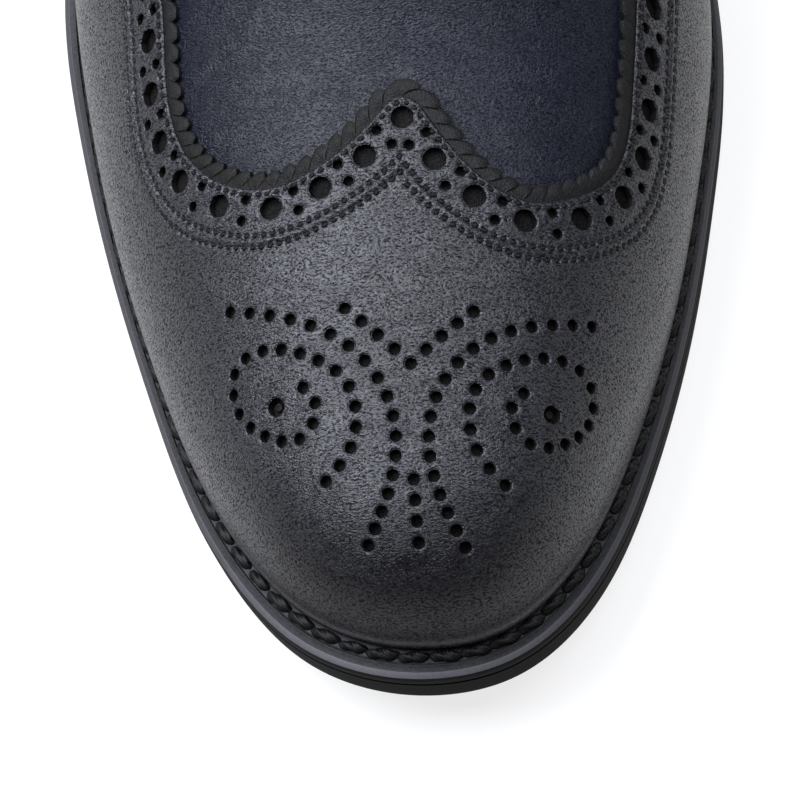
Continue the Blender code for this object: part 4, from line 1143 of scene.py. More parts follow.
def make_strip(cap, leather, cut_side_and_highlight):
    """Teeth that lean over one another like a rope's turns, each with its cut side showing in pale cream: partly
    the raw fibre edge, partly a painted highlight along the step.
    """
    sheet, pattern = cap.sheet, cap.pattern
    halves = []
    for k, side in enumerate((1, -1)):
        start = pattern.wing(side, HOLES_TO_EDGE - 0.0005, 0.0002)
        halves.append(cut_at(start, cap.feather[k])[0])
    line = np.vstack([halves[1][::-1], halves[0][1:]])
    distance = along(line)
    teeth = int(round(distance[-1] / TOOTH_PITCH))
    pitch = distance[-1] / teeth
    per = 14
    phase = np.tile(np.concatenate([np.linspace(0.0, 0.97, per - 1), [1.0]]), teeth)
    ways = (np.repeat(np.arange(teeth), per) + np.minimum(phase, 0.999)) * pitch
    across = np.array([0.0, 0.16, 0.30, 0.44, 0.58, 0.72, 0.84, 0.93, 1.0])
    lean = 0.0016 * np.clip((across - 0.2) / 0.8, 0.0, 1.0) ** 1.3
    tip = np.clip(np.minimum(phase / 0.55, (1.0 - phase) / 0.16), 0.0, 1.0)
    width = 0.0005 + STRIP_WIDTH * (0.70 + 0.34 * np.sin(0.5 * np.pi * tip))
    slid = np.clip(ways[:, None] + lean[None, :], 0.0, distance[-1])
    smooth = [np.interp(np.clip(slid + s, 0, distance[-1]), distance, line[:, i])
              for s in (0.0012, -0.0012) for i in (0, 1)]
    base = np.stack([np.interp(slid, distance, line[:, i]) for i in (0, 1)], -1)
    step = unit(np.stack([smooth[0] - smooth[2], smooth[1] - smooth[3]], -1))
    toward = np.stack([-step[..., 1], step[..., 0]], -1)
    if toward[len(base) // 2, 0, 1] < 0.0:
        toward = -toward
    rows = len(across)
    flat = (base + toward * (width[:, None] * across[None, :])[..., None]).reshape(-1, 2)
    reach = smooth_step((across - 0.16) / 0.40)[None, :]
    height = 0.00085 + reach * (0.00052 * phase[:, None] ** 0.8 - 0.00016)
    height = height - 0.00030 * (np.clip((across - 0.72) / 0.28, 0.0, 1.0) ** 2)[None, :]
    outer = raised(sheet, flat, height.reshape(-1))
    inner = raised(sheet, flat, 0.00008)
    faces = []
    slots = []
    for i in range(len(base) - 1):
        for j in range(rows - 1):
            a = i * rows + j
            faces.append((a, a + 1, a + rows + 1, a + rows))
            # The steps' cut faces take the pale cream material: partly the raw fibre edge, partly a painted
            # highlight.
            slots.append(1 if i % per == per - 1 and j >= 2 else 0)
    solid = list(faces) + [tuple(k + len(flat) for k in face[::-1]) for face in faces]
    slots += [0] * len(faces)
    for a, b in borders(faces):
        solid.append((b, a, a + len(flat), b + len(flat)))
        slots.append(0)
    points = np.vstack([outer, inner])
    thing = add_piece("toothed_strip", points, solid, slots, [leather, cut_side_and_highlight])
    return outward(thing, 42)


# The upper

def upper_mesh(sheet, pattern, leather, lining, backing, cap_ring):
    """The shoe's wall: outer face with the quarters' step, lining, and rounded top edges."""
    count = len(sheet.shares)
    rows = sheet.points.shape[2]
    closed = int(np.argmin(np.abs(sheet.shares - sheet.upper.throat)))
    flat_grid = sheet.flat()
    flat_list = flat_grid.reshape(-1, 2)
    behind = seam_distance(pattern, flat_list).reshape(2, count, rows)
    lift = QUARTER_STEP * smooth_step((behind + 0.0002) / 0.0009)
    lift -= 0.00012 * np.exp(-(((behind - 0.0017) / 0.0006) ** 2))
    index = {}
    outer = []
    inner = []
    ups = []
    for k in (0, 1):
        side = 1 if k == 0 else -1
        for i in range(count):
            for j in range(-1, rows):
                shared = k == 1 and (i in (0, count - 1) or (j == rows - 1 and i <= closed))
                if shared:
                    index[(k, i, j)] = index[(0, i, j)]
                    continue
                index[(k, i, j)] = len(outer)
                place = sheet.points[k, i, max(j, 0)].copy()
                normal = sheet.normals[k, i, max(j, 0)].copy()
                if j <= 0:
                    plan = sheet.upper.sides[side].normal(sheet.shares[i])
                    normal = np.array([*plan, 0.0])
                if j < 0:
                    place[2] = float(tread(place[1])) + OUTSOLE_THICKNESS + 0.0001
                outer.append(place + normal * lift[k, i, max(j, 0)])
                inner.append(place - normal * UPPER_WALL)
                up = sheet.points[k, i, rows - 1] - sheet.points[k, i, rows - 2]
                ups.append(up if j == rows - 1 else np.zeros(3))
    outer = np.array(outer)
    inner = np.array(inner)
    ups = unit(np.array(ups))
    faces = []
    flats = []
    for k in (0, 1):
        for i in range(count - 1):
            for j in range(-1, rows - 1):
                corners = [(k, i, j), (k, i + 1, j), (k, i + 1, j + 1), (k, i, j + 1)]
                face = []
                for corner in corners:
                    if index[corner] not in face:
                        face.append(index[corner])
                faces.append(tuple(face if k == 0 else face[::-1]))
                flats.append(flat_grid[k, i, max(j, 0)])
    covered = inside(np.array(flats), cap_ring)
    total = len(outer)
    points = [outer, inner]
    solid = list(faces) + [tuple(i + total for i in face[::-1]) for face in faces]
    slots = [2 if c else 0 for c in covered] + [1] * len(faces)
    rim = borders(faces)
    numbers = sorted({a for edge in rim for a in edge})
    place_of = {}
    extra = []
    steps = (0.10, 0.28, 0.5, 0.72, 0.90)
    for number in numbers:
        for step_number, t in enumerate(steps):
            bulge = 0.0007 * np.sqrt(1.0 - (2.0 * t - 1.0) ** 2)
            place_of[(number, step_number)] = 2 * total + len(extra)
            extra.append(outer[number] + (inner[number] - outer[number]) * t + ups[number] * bulge)
    points.append(np.array(extra))
    for a, b in rim:
        chain_a = [a] + [place_of[(a, s)] for s in range(len(steps))] + [a + total]
        chain_b = [b] + [place_of[(b, s)] for s in range(len(steps))] + [b + total]
        for s in range(len(chain_a) - 1):
            solid.append((chain_b[s], chain_a[s], chain_a[s + 1], chain_b[s + 1]))
            slots.append(0 if s < 4 else 1)
    thing = add_piece("leather_shell", np.vstack(points), solid, slots, [leather, lining, backing])
    return outward(thing)


def punch_eyelets(thing, sheet):
    """Real holes for the lace through wall and lining."""
    cutter = bmesh.new()
    for length in eyelet_places(sheet.upper):
        for side in (1, -1):
            place, normal = face_frame(sheet, side, length, EYELET_INSET)
            turn = Vector(normal).to_track_quat("Z", "Y").to_matrix().to_4x4()
            turn.translation = Vector(to_frame(place) - normal * (0.5 * UPPER_WALL))
            size = 0.5 * EYELET_WIDTH - 0.0003
            bmesh.ops.create_cone(cutter, cap_ends=True, segments=28, radius1=size, radius2=size,
                                  depth=4.0 * UPPER_WALL, matrix=turn)
    mesh = bpy.data.meshes.new("eyelet_cutter")
    cutter.to_mesh(mesh)
    cutter.free()
    tool = bpy.data.objects.new("eyelet_cutter", mesh)
    bpy.context.scene.collection.objects.link(tool)
    cut = thing.modifiers.new("eyelets", "BOOLEAN")
    cut.operation = "DIFFERENCE"
    cut.solver = "EXACT"
    cut.object = tool
    graph = bpy.context.evaluated_depsgraph_get()
    result = bpy.data.meshes.new_from_object(thing.evaluated_get(graph), depsgraph=graph)
    thing.modifiers.clear()
    old = thing.data
    thing.data = result
    bpy.data.meshes.remove(old)
    bpy.data.objects.remove(tool, do_unlink=True)
    result.polygons.foreach_set("use_smooth", np.ones(len(result.polygons), bool))
    result.set_sharp_from_angle(angle=np.radians(50.0))
    return thing


def eyelet_rims(sheet, made):
    """A narrow pressed ring round each lace hole, outside and inside."""
    points = []
    faces = []
    around, section = 28, 8
    for length in eyelet_places(sheet.upper):
        for side in (1, -1):
            place, normal = face_frame(sheet, side, length, EYELET_INSET)
            first = unit(np.cross(normal, (0.0, 1.0, 0.0)))
            second = np.cross(normal, first)
            for level in (QUARTER_STEP, -UPPER_WALL):
                start = len(points)
                for turn in np.linspace(0.0, 2.0 * np.pi, around, endpoint=False):
                    out = first * np.cos(turn) + second * np.sin(turn)
                    for bend in np.linspace(0.0, 2.0 * np.pi, section, endpoint=False):
                        radius = 0.5 * EYELET_WIDTH - 0.00005 + 0.00034 * np.cos(bend)
                        height = level + 0.00016 * np.sin(bend)
                        points.append(place + out * radius + normal * height)
                for i in range(around):
                    for j in range(section):
                        a = start + i * section + j
                        b = start + i * section + (j + 1) % section
                        c = start + ((i + 1) % around) * section + (j + 1) % section
                        d = start + ((i + 1) % around) * section + j
                        faces.append((a, b, c, d))
    thing = add_piece("eyelet_rims", np.array(points), faces, [0] * len(faces), [made])
    return outward(thing)


def back_strip(sheet, leather):
    """The narrow strip that covers the seam up the heel's back."""
    ways = np.linspace(0.02, 0.985, 90)
    across = np.linspace(-1.0, 1.0, 15)
    length = {1: sheet.upper.sides[1].length, -1: sheet.upper.sides[-1].length}
    points = []
    for way in ways:
        half = 0.0048 + 0.0022 * smooth_step((way - 0.55) / 0.45)
        for a in across:
            side = 1 if a >= 0.0 else -1
            share = 1.0 - abs(a) * half / length[side]
            k = 0 if side == 1 else 1
            place, normal = sheet.at(k, sheet.column_at(share), way)
            edge = np.sqrt(max(1.0 - abs(a) ** 8, 0.0))
            points.append(place + normal * (QUARTER_STEP + 0.0007 * edge))
    points = np.array(points)
    count = len(across)
    faces = []
    for i in range(len(ways) - 1):
        for j in range(count - 1):
            a = i * count + j
            faces.append((a, a + 1, a + count + 1, a + count))
    under = points.copy()
    under[:, 1] -= 0.0010
    solid = list(faces) + [tuple(k + len(points) for k in face[::-1]) for face in faces]
    for a, b in borders(faces):
        solid.append((b, a, a + len(points), b + len(points)))
    thing = add_piece("back_strip", np.vstack([points, under]), solid, [0] * len(solid), [leather])
    return outward(thing, 60)


# The welt, the sole and the heel

def ring_stations(sides, count):
    """Stations all round the sole, evenly by distance: side, share of the way."""
    shares = np.linspace(0.0, 1.0, count)
    return [(1, s) for s in shares] + [(-1, s) for s in shares[1:-1][::-1]]


def make_welt(sides, upper, made, count=330):
    points = []
    stations = ring_stations(sides, count)
    top = WELT_THICKNESS + GAP
    for side, share in stations:
        m = float(upper.margin(side, share))
        chamfer = 0.00020 + 0.115 * m
        section = (
            (0.00030, 0.00004),
            (0.00002, 0.0005),
            (0.0, top - 0.00078),
            (0.00004, top - 0.00066),
            (chamfer - 0.00004, top - 0.00004),
            (chamfer + 0.00008, top),
            (0.360 * m, top),
            (0.368 * m, top + 0.00009),
            (0.380 * m, top + 0.00011),
            (0.392 * m, top + 0.00007),
            (0.405 * m, top - 0.00016),
            (0.440 * m, top - 0.00026),
            (0.500 * m, top - 0.00020),
            (0.590 * m, top + 0.00010),
            (0.700 * m, top + 0.00028),
            (0.760 * m, top + 0.00044),
            (0.820 * m, top + 0.00078),
            (0.870 * m, top + 0.00086),
            (0.920 * m, top + 0.00070),
            (m - 0.00026, top + 0.00030),
            (m - 0.00016, top - 0.00040),
            (m - 0.00016, 0.00004),
        )
        for inset, height in section:
            x, length = sides[side].edge(share, inset)
            points.append((x, length, tread(length) + OUTSOLE_THICKNESS + height))
    rows = len(section)
    rings = len(stations)
    faces = []
    for i in range(rings):
        j = (i + 1) % rings
        for a in range(rows):
            b = (a + 1) % rows
            faces.append((i * rows + a, i * rows + b, j * rows + b, j * rows + a))
    # Slot 1 is the bevel, with its pale grey painted highlight.
    kinds = [0, 0, 0, 1, 1, 2, 1] + [2] * 15
    slots = [kinds[number % rows] for number in range(len(faces))]
    thing = add_piece("storm_welt", np.array(points), faces, slots, made)
    return outward(thing, 34)


def welt_stitches(sides, upper, tree, made):
    shape = thread_shape("welt_thread", 22, 15, 3, 1.9, 0.92, 0.22)
    places = []
    ways = []
    ups = []
    for side in (1, -1):
        length = sides[side].length
        count = int(length / WELT_STITCH_PITCH)
        shares = (np.arange(count) + 0.5) / count
        for share in shares:
            m = float(upper.margin(side, share))
            ends = []
            for step, lean in ((-1, 0.14), (1, -0.14)):
                s = np.clip(share + step * 0.42 * WELT_STITCH_PITCH / length, 0.0, 1.0)
                x, y = sides[side].edge(s, 0.60 * m + lean * 0.0016)
                ends.append(np.array([x, y, float(tread(y)) + OUTSOLE_THICKNESS + WELT_THICKNESS + GAP]))
            middle = 0.5 * (ends[0] + ends[1])
            middle[2] += 0.00040
            outer = sides[side].normal(share)
            places.append(middle)
            ways.append(unit(ends[1] - ends[0]) * (1 if side == 1 else -1))
            ups.append(unit(np.array([0.35 * outer[0], 0.35 * outer[1], 1.0])))
    thing = repeat("welt_stitches", tree, shape, np.array(places), np.array(ways), np.array(ups),
                   0.0055, 0.00175, 0.07, 11, made)
    bpy.data.objects.remove(shape, do_unlink=True)
    return thing


def make_sole(sides, made, count=300):
    """The outsole: a smooth edge, rounded below, over the last's tread."""
    shares = np.linspace(0.0, 1.0, count)
    t = OUTSOLE_THICKNESS
    section = [(0.0060, 0.0), (0.0030, 0.0), (0.0012, 0.00003), (0.00075, 0.00012), (0.00055, 0.00032),
               (0.00048, 0.0006)]
    for level in (0.0019, 0.0040):
        section.append((EDGE_UNDERCUT * (1.0 - level / t), level))
    section += [(0.00003, t - 0.0002), (0.00025, t - 0.00001), (0.0030, t), (0.0080, t)]
    rows = len(section)
    points = []
    index = {}
    for side in (1, -1):
        for i, share in enumerate(shares):
            for a, (inset, level) in enumerate(section):
                if side == -1 and i in (0, count - 1):
                    index[(side, i, a)] = index[(1, i, a)]
                    continue
                index[(side, i, a)] = len(points)
                x, y = sides[side].edge(share, inset)
                points.append((x, y, float(tread(y)) + level))
    faces = []
    for side in (1, -1):
        for i in range(count - 1):
            for a in range(rows - 1):
                faces.append((index[(side, i, a)], index[(side, i + 1, a)],
                              index[(side, i + 1, a + 1)], index[(side, i, a + 1)]))
    for a in (0, rows - 1):
        for i in range(count - 1):
            face = []
            for corner in ((1, i, a), (1, i + 1, a), (-1, i + 1, a), (-1, i, a)):
                if index[corner] not in face:
                    face.append(index[corner])
            if len(face) > 2:
                faces.append(tuple(face))
    thing = add_piece("dressed_sole", np.array(points), faces, [0] * len(faces), [made])
    return outward(thing, 40)


def heel_piece(name, sides, levels, made):
    """A stack with the given levels and insets, and a curved breast."""
    shares = np.linspace(0.0, 1.0, 900)
    rear = []
    for side in (1, -1):
        plan = sides[side].edge(shares)
        rear.append(float(np.interp(BREAST * SHOE_LENGTH, plan[:, 1], shares)))
    points = []
    for level, inset, breast in levels:
        ring = []
        for start, side in zip(rear, (1, -1)):
            own = np.linspace(start, 1.0, 90)
            line = sides[side].edge(own, inset)
            line[:, 1] += breast * np.clip(1.0 - (own - start) / 0.01, 0.0, 1.0)
            ring.append(line if side == 1 else line[::-1][1:])
        ring = np.vstack(ring)
        first, last = ring[0], ring[-1]
        for way in np.linspace(0.0, 1.0, 31)[1:-1]:
            bow = BREAST_CURVE * 4.0 * way * (1.0 - way)
            ring = np.vstack([ring, last + (first - last) * way + (0.0, bow)])
        points.append(np.column_stack([ring, np.full(len(ring), level)]))
    count = len(points[0])
    faces = [tuple(range(count))[::-1]]
    for i in range(len(points) - 1):
        for a in range(count):
            b = (a + 1) % count
            faces.append((i * count + a, i * count + b, (i + 1) * count + b, (i + 1) * count + a))
    faces.append(tuple(range((len(points) - 1) * count, len(points) * count)))
    thing = add_piece(name, np.vstack(points), faces, [0] * len(faces), [made])
    return outward(thing, 34)


def make_heel(sides, rubber, black):
    whole = HEEL_HEIGHT - GAP
    split = HEEL_LIFT_THICKNESS

    def inset(level):
        return 0.0004 + HEEL_TAPER * (1.0 - level / whole)

    def level(z, more=0.0):
        return (z, inset(z) + more, 0.0)

    lift = [(0.0, inset(0.0) + 0.0006, 0.0006), (0.0001, inset(0.0) + 0.00025, 0.00025),
            (0.0005, inset(0.0), 0.0)]
    lift += [level(split - 0.00025), (split - 0.00005, inset(split) + 0.00014, 0.00014)]
    block = [(split + 0.00005, inset(split) + 0.00014, 0.00014), level(split + 0.00025)]
    for seam in (0.0108, 0.0155, 0.0203):
        block += [level(seam - 0.00015), level(seam - 0.00003, 0.00016), level(seam + 0.00003, 0.00016),
                  level(seam + 0.00015)]
    block += [level(whole - 0.0002), (whole + 0.0002, inset(whole) + 0.0002, 0.0002)]
    return heel_piece("rubber_lift", sides, lift, rubber), heel_piece("stacked_heel", sides, block, black)


def make_sock(sides, upper, made, count=200):
    """The insole and its sock lining, from wall to wall."""
    shares = np.linspace(0.0, 1.0, count)
    across = np.linspace(0.0, 1.0, 13)
    points = []
    for level in (OUTSOLE_THICKNESS + 0.0002, OUTSOLE_THICKNESS + GAP + INSOLE_THICKNESS):
        high = level > OUTSOLE_THICKNESS + 0.001
        for share in shares:
            a = sides[1].edge(share, upper.margin(1, share) + UPPER_WALL + 0.0002)
            b = sides[-1].edge(share, upper.margin(-1, share) + UPPER_WALL + 0.0002)
            for way in across:
                x, y = a + (b - a) * way
                cup = 0.0010 * (2.0 * way - 1.0) ** 4 if high else 0.0
                points.append((x, y, float(tread(y)) + level + cup))
    columns = len(across)
    faces = []
    for i in range(count - 1):
        for j in range(columns - 1):
            a = i * columns + j
            faces.append((a, a + 1, a + columns + 1, a + columns))
    total = count * columns
    solid = [tuple(k + total for k in face) for face in faces]
    solid += [face[::-1] for face in faces]
    for a, b in borders(faces):
        solid.append((b, a, a + total, b + total))
    thing = add_piece("sock_lining", np.array(points), solid, [0] * len(solid), [made])
    return outward(thing, 50)


# The tongue and the lace

def make_tongue(sheet, leather, lining):
    half_widths = (0.0190, 0.0185, 0.0160, 0.0130, 0.0100, 0.0070, 0.0045, 0.0020)
    stations = np.linspace(TONGUE_START, CORNER, 36) * SHOE_LENGTH
    settle = FIRST_EYELET * SHOE_LENGTH - 0.005
    rows = []
    ups = []
    for length in stations:
        drop = TONGUE_DROP * smooth_step((length - stations[0]) / (settle - stations[0]))
        depth = UPPER_WALL + GAP + float(drop)
        half = [face_frame(sheet, 1, length, inset) for inset in half_widths]
        other = [face_frame(sheet, -1, length, inset) for inset in half_widths[::-1]]
        tops = [face_frame(sheet, side, length, 0.0) for side in (1, -1)]
        middle = (0.5 * (tops[0][0] + tops[1][0]), unit(tops[0][1] + tops[1][1]))
        line = half + [middle] + other
        rows.append([place - normal * depth for place, normal in line])
        ups.append([normal for place, normal in line])
    rows = np.array(rows)
    ups = np.array(ups)
    last = len(rows) - 1
    centre = len(half_widths)
    reach = unit(rows[-1, centre] - rows[-3, centre])
    for share in (0.18, 0.36, 0.54, 0.70, 0.82, 0.91, 0.97, 1.0):
        narrow = 0.62 + 0.38 * np.sqrt(max(1.0 - share**3.2, 0.0))
        line = rows[last, centre] + (rows[last] - rows[last, centre]) * narrow + reach * TONGUE_REACH * share
        rows = np.concatenate([rows, line[None]])
        ups = np.concatenate([ups, ups[last][None]])
    count = rows.shape[1]
    outer = rows.reshape(-1, 3)
    normals = ups.reshape(-1, 3)
    faces = []
    for i in range(len(rows) - 1):
        for j in range(count - 1):
            a = i * count + j
            faces.append((a, a + count, a + count + 1, a + 1))
    total = len(outer)
    thick = TONGUE_THICKNESS
    inner = outer - normals * thick
    solid = list(faces) + [tuple(k + total for k in face[::-1]) for face in faces]
    slots = [0] * len(faces) + [1] * len(faces)
    rim = borders(faces)
    numbers = sorted({a for edge in rim for a in edge})
    grid_middle = rows[:, centre]
    extra = []
    place_of = {}
    steps = (0.12, 0.34, 0.66, 0.88)
    for number in numbers:
        i, j = divmod(number, count)
        out = rows[i, j] - grid_middle[min(i, last)]
        out = unit(out - normals[number] * (out @ normals[number]))
        for s, t in enumerate(steps):
            bulge = 0.0011 * np.sqrt(1.0 - (2.0 * t - 1.0) ** 2)
            place_of[(number, s)] = 2 * total + len(extra)
            extra.append(outer[number] - normals[number] * thick * t + out * bulge)
    for a, b in rim:
        chain_a = [a] + [place_of[(a, s)] for s in range(4)] + [a + total]
        chain_b = [b] + [place_of[(b, s)] for s in range(4)] + [b + total]
        for s in range(5):
            solid.append((chain_b[s], chain_a[s], chain_a[s + 1], chain_b[s + 1]))
            slots.append(0 if s < 4 else 1)
    points = np.vstack([outer, inner, np.array(extra)])
    thing = add_piece("leather_tongue", points, solid, slots, [leather, lining])
    return outward(thing)


def lace_path(sheet):
    """The lace's route in straight bars; both ends stop under the top eyelets."""
    eyelets = eyelet_places(sheet.upper)
    over = 0.5 * LACE_WIDTH + GAP + 0.0005
    under = -(UPPER_WALL + 0.5 * LACE_WIDTH + GAP + 0.0003)
    side_step = 0.0032
    places = []
    normals = []

    def add(side, length, inset, height):
        place, normal = face_frame(sheet, side, length, inset)
        places.append(place + normal * height)
        normals.append(normal)

    def bar(number, start):
        length = eyelets[number]
        for side, insets in ((start, (8.1, 5.6, 2.8)), (-start, (2.8, 5.6, 8.1))):
            for inset in insets:
                drop = 0.0003 if inset > 8.0 else 0.0
                add(side, length, 0.001 * inset, over - drop)

    def leg(number, side, toward):
        add(side, eyelets[number] + 0.0002 * toward, EYELET_INSET, -0.5 * UPPER_WALL)

    def run(first, last, side, step):
        inset = EYELET_INSET + step
        add(side, eyelets[first] + 0.0012, EYELET_INSET + 0.2 * step, under)
        for way in (0.22, 0.5, 0.78):
            length = eyelets[first] + (eyelets[last] - eyelets[first]) * way
            add(side, length, inset, under)
        add(side, eyelets[last] - 0.0012, EYELET_INSET + 0.2 * step, under)

    def run_down(first, last, side, step):
        start = len(places)
        run(first, last, side, step)
        places[start:] = places[start:][::-1]
        normals[start:] = normals[start:][::-1]

    add(-1, eyelets[4] - 0.0030, EYELET_INSET - side_step, under)
    add(-1, eyelets[3] + 0.0050, EYELET_INSET - side_step, under)
    add(-1, eyelets[3] + 0.0012, EYELET_INSET - 0.2 * side_step, under)
    leg(3, -1, 0)
    bar(3, -1)
    leg(3, 1, 0)
    run_down(1, 3, 1, -side_step)
    leg(1, 1, 0)
    bar(1, 1)
    leg(1, -1, 0)
    run_down(0, 1, -1, 0.0)
    leg(0, -1, 0)
    bar(0, -1)
    leg(0, 1, 0)
    run(0, 2, 1, side_step)
    leg(2, 1, 0)
    bar(2, 1)
    leg(2, -1, 0)
    run(2, 4, -1, side_step)
    leg(4, -1, 0)
    bar(4, -1)
    leg(4, 1, 0)
    add(1, eyelets[4] - 0.0012, EYELET_INSET, under)
    add(1, eyelets[4] - 0.0060, EYELET_INSET, under)
    return np.array(places), np.array(normals)


def make_lace(sheet, made, rings=760, around=14):
    """A round waxed lace with its plait, marked along and around as the UV map."""
    places, normals = lace_path(sheet)
    path = Curve(along(places), np.hstack([places, normals]))
    fine = path(np.linspace(0.0, path.t[-1], 4000))
    distance = along(fine[:, :3])
    even = np.linspace(0.0, distance[-1], rings)
    middle = np.stack([np.interp(even, distance, fine[:, i]) for i in range(3)], -1)
    step = unit(np.gradient(middle, axis=0))
    first = np.array([1.0, 0.0, 0.0])
    points = []
    turns = np.linspace(0.0, 2.0 * np.pi, around, endpoint=False)
    for i in range(rings):
        first = unit(first - step[i] * (first @ step[i]))
        second = np.cross(step[i], first)
        for turn in turns:
            plait = 0.00004 * np.cos(2.0 * turn + even[i] / 0.00042) * np.cos(2.0 * turn - even[i] / 0.00042)
            radius = 0.5 * LACE_WIDTH - 0.00005 + plait
            points.append(middle[i] + radius * (first * np.cos(turn) + second * np.sin(turn)))
    faces = []
    uvs = []
    for i in range(rings - 1):
        for j in range(around):
            b = (j + 1) % around
            faces.append((i * around + j, i * around + b, (i + 1) * around + b, (i + 1) * around + j))
            u0, u1 = even[i] / 0.001, even[i + 1] / 0.001
            v0, v1 = j / around, (j + 1) / around
            uvs += [(u0, v0), (u0, v1), (u1, v1), (u1, v0)]
    faces.append(tuple(range(around))[::-1])
    faces.append(tuple(range((rings - 1) * around, rings * around)))
    uvs += [(0.0, 0.0)] * (2 * around)
    thing = add_piece("waxed_lace", np.array(points), faces, [0] * len(faces), [made])
    layer = thing.data.uv_layers.new(name="along_lace")
    layer.data.foreach_set("uv", np.array(uvs, np.float32).reshape(-1))
    return outward(thing, 60)


# Materials

class Value:
    """A shader value that can be added, multiplied and compared like a number."""

    def __init__(self, maker, socket):
        self.maker = maker
        self.socket = socket

    def maths(self, kind, *values, clamp=False):
        settings = {"operation": kind, "use_clamp": clamp}
        return self.maker.node("ShaderNodeMath", settings, dict(enumerate(values)))

    def __add__(self, other):
        return self.maths("ADD", self, other)

    def __radd__(self, other):
        return self.maths("ADD", other, self)

    def __sub__(self, other):
        return self.maths("SUBTRACT", self, other)

    def __rsub__(self, other):
        return self.maths("SUBTRACT", other, self)

    def __mul__(self, other):
        return self.maths("MULTIPLY", self, other)

    def __rmul__(self, other):
        return self.maths("MULTIPLY", other, self)

    def __truediv__(self, other):
        return self.maths("DIVIDE", self, other)

    def __rtruediv__(self, other):
        return self.maths("DIVIDE", other, self)

    def __pow__(self, other):
        return self.maths("POWER", self, other)

    def sine(self):
        return self.maths("SINE", self)

    def step(self, low, high):
        """Nothing below low, one above high, and a soft step between."""
        values = {"Value": self, "From Min": low, "From Max": high}
        return self.maker.node("ShaderNodeMapRange", {"interpolation_type": "SMOOTHSTEP"}, values)


class Maker:
    """A material's node tree."""

    def __init__(self, name):
        self.material = bpy.data.materials.new(name)
        self.material.use_nodes = True
        self.tree = self.material.node_tree
        self.tree.nodes.clear()
        self.place = self.node("ShaderNodeTexCoord", {}, {}, "Object")

    def node(self, kind, settings, values, output=0):
        made = self.tree.nodes.new(kind)
        for key, value in settings.items():
            setattr(made, key, value)
        for key, value in values.items():
            if isinstance(value, Value):
                self.tree.links.new(value.socket, made.inputs[key])
            else:
                made.inputs[key].default_value = value
        return Value(self, made.outputs[output])

    def split(self, vector):
        return [self.node("ShaderNodeSeparateXYZ", {}, {0: vector}, i) for i in range(3)]

    def noise(self, place, scale, detail=2.0, roughness=0.5, distortion=0.0):
        values = {"Vector": place, "Scale": scale, "Detail": detail, "Roughness": roughness,
                  "Distortion": distortion}
        return self.node("ShaderNodeTexNoise", {}, values)

    def cells(self, place, scale, feature="DISTANCE_TO_EDGE", randomness=1.0):
        values = {"Vector": place, "Scale": scale, "Randomness": randomness}
        return self.node("ShaderNodeTexVoronoi", {"feature": feature}, values)

    def stretch(self, place, size):
        return self.node("ShaderNodeVectorMath", {"operation": "MULTIPLY"}, {0: place, 1: size})

    def stray(self, place, scale, amount):
        """The place moved about by a soft noise."""
        values = {"Vector": place, "Scale": scale, "Detail": 1.0}
        cloud = self.node("ShaderNodeTexNoise", {}, values, "Color")
        middle = self.node("ShaderNodeVectorMath", {"operation": "SUBTRACT"}, {0: cloud, 1: (0.5, 0.5, 0.5)})
        small = self.node("ShaderNodeVectorMath", {"operation": "SCALE"}, {0: middle, "Scale": amount})
        return self.node("ShaderNodeVectorMath", {"operation": "ADD"}, {0: place, 1: small})

    def mix(self, share, first, second):
        """From the first colour to the second."""
        values = {0: share}
        for key, colour in ((6, first), (7, second)):
            values[key] = colour if isinstance(colour, Value) else (*colour, 1.0)
        return self.node("ShaderNodeMix", {"data_type": "RGBA"}, values, 2)

    def bump(self, height, distance, strength=1.0, under=None):
        values = {"Height": height, "Distance": distance, "Strength": strength}
        if under is not None:
            values["Normal"] = under
        return self.node("ShaderNodeBump", {}, values)

    def finish(self, values, viewport, shade=None):
        """Closes the tree; shade is how far each place is mixed towards a dark matte shader: painted shade in the
        grain's creases, and a darkening of the toe's tip and the vamp.
        """
        shader = self.node("ShaderNodeBsdfPrincipled", {}, values)
        if shade is not None:
            dark = self.node("ShaderNodeBsdfDiffuse", {}, {"Color": (0.0020, 0.0020, 0.0030, 1.0)})
            shader = self.node("ShaderNodeMixShader", {}, {0: shade, 1: shader, 2: dark})
        output = self.tree.nodes.new("ShaderNodeOutputMaterial")
        self.tree.links.new(shader.socket, output.inputs["Surface"])
        self.material.diffuse_color = (*viewport, 1.0)
        return self.material


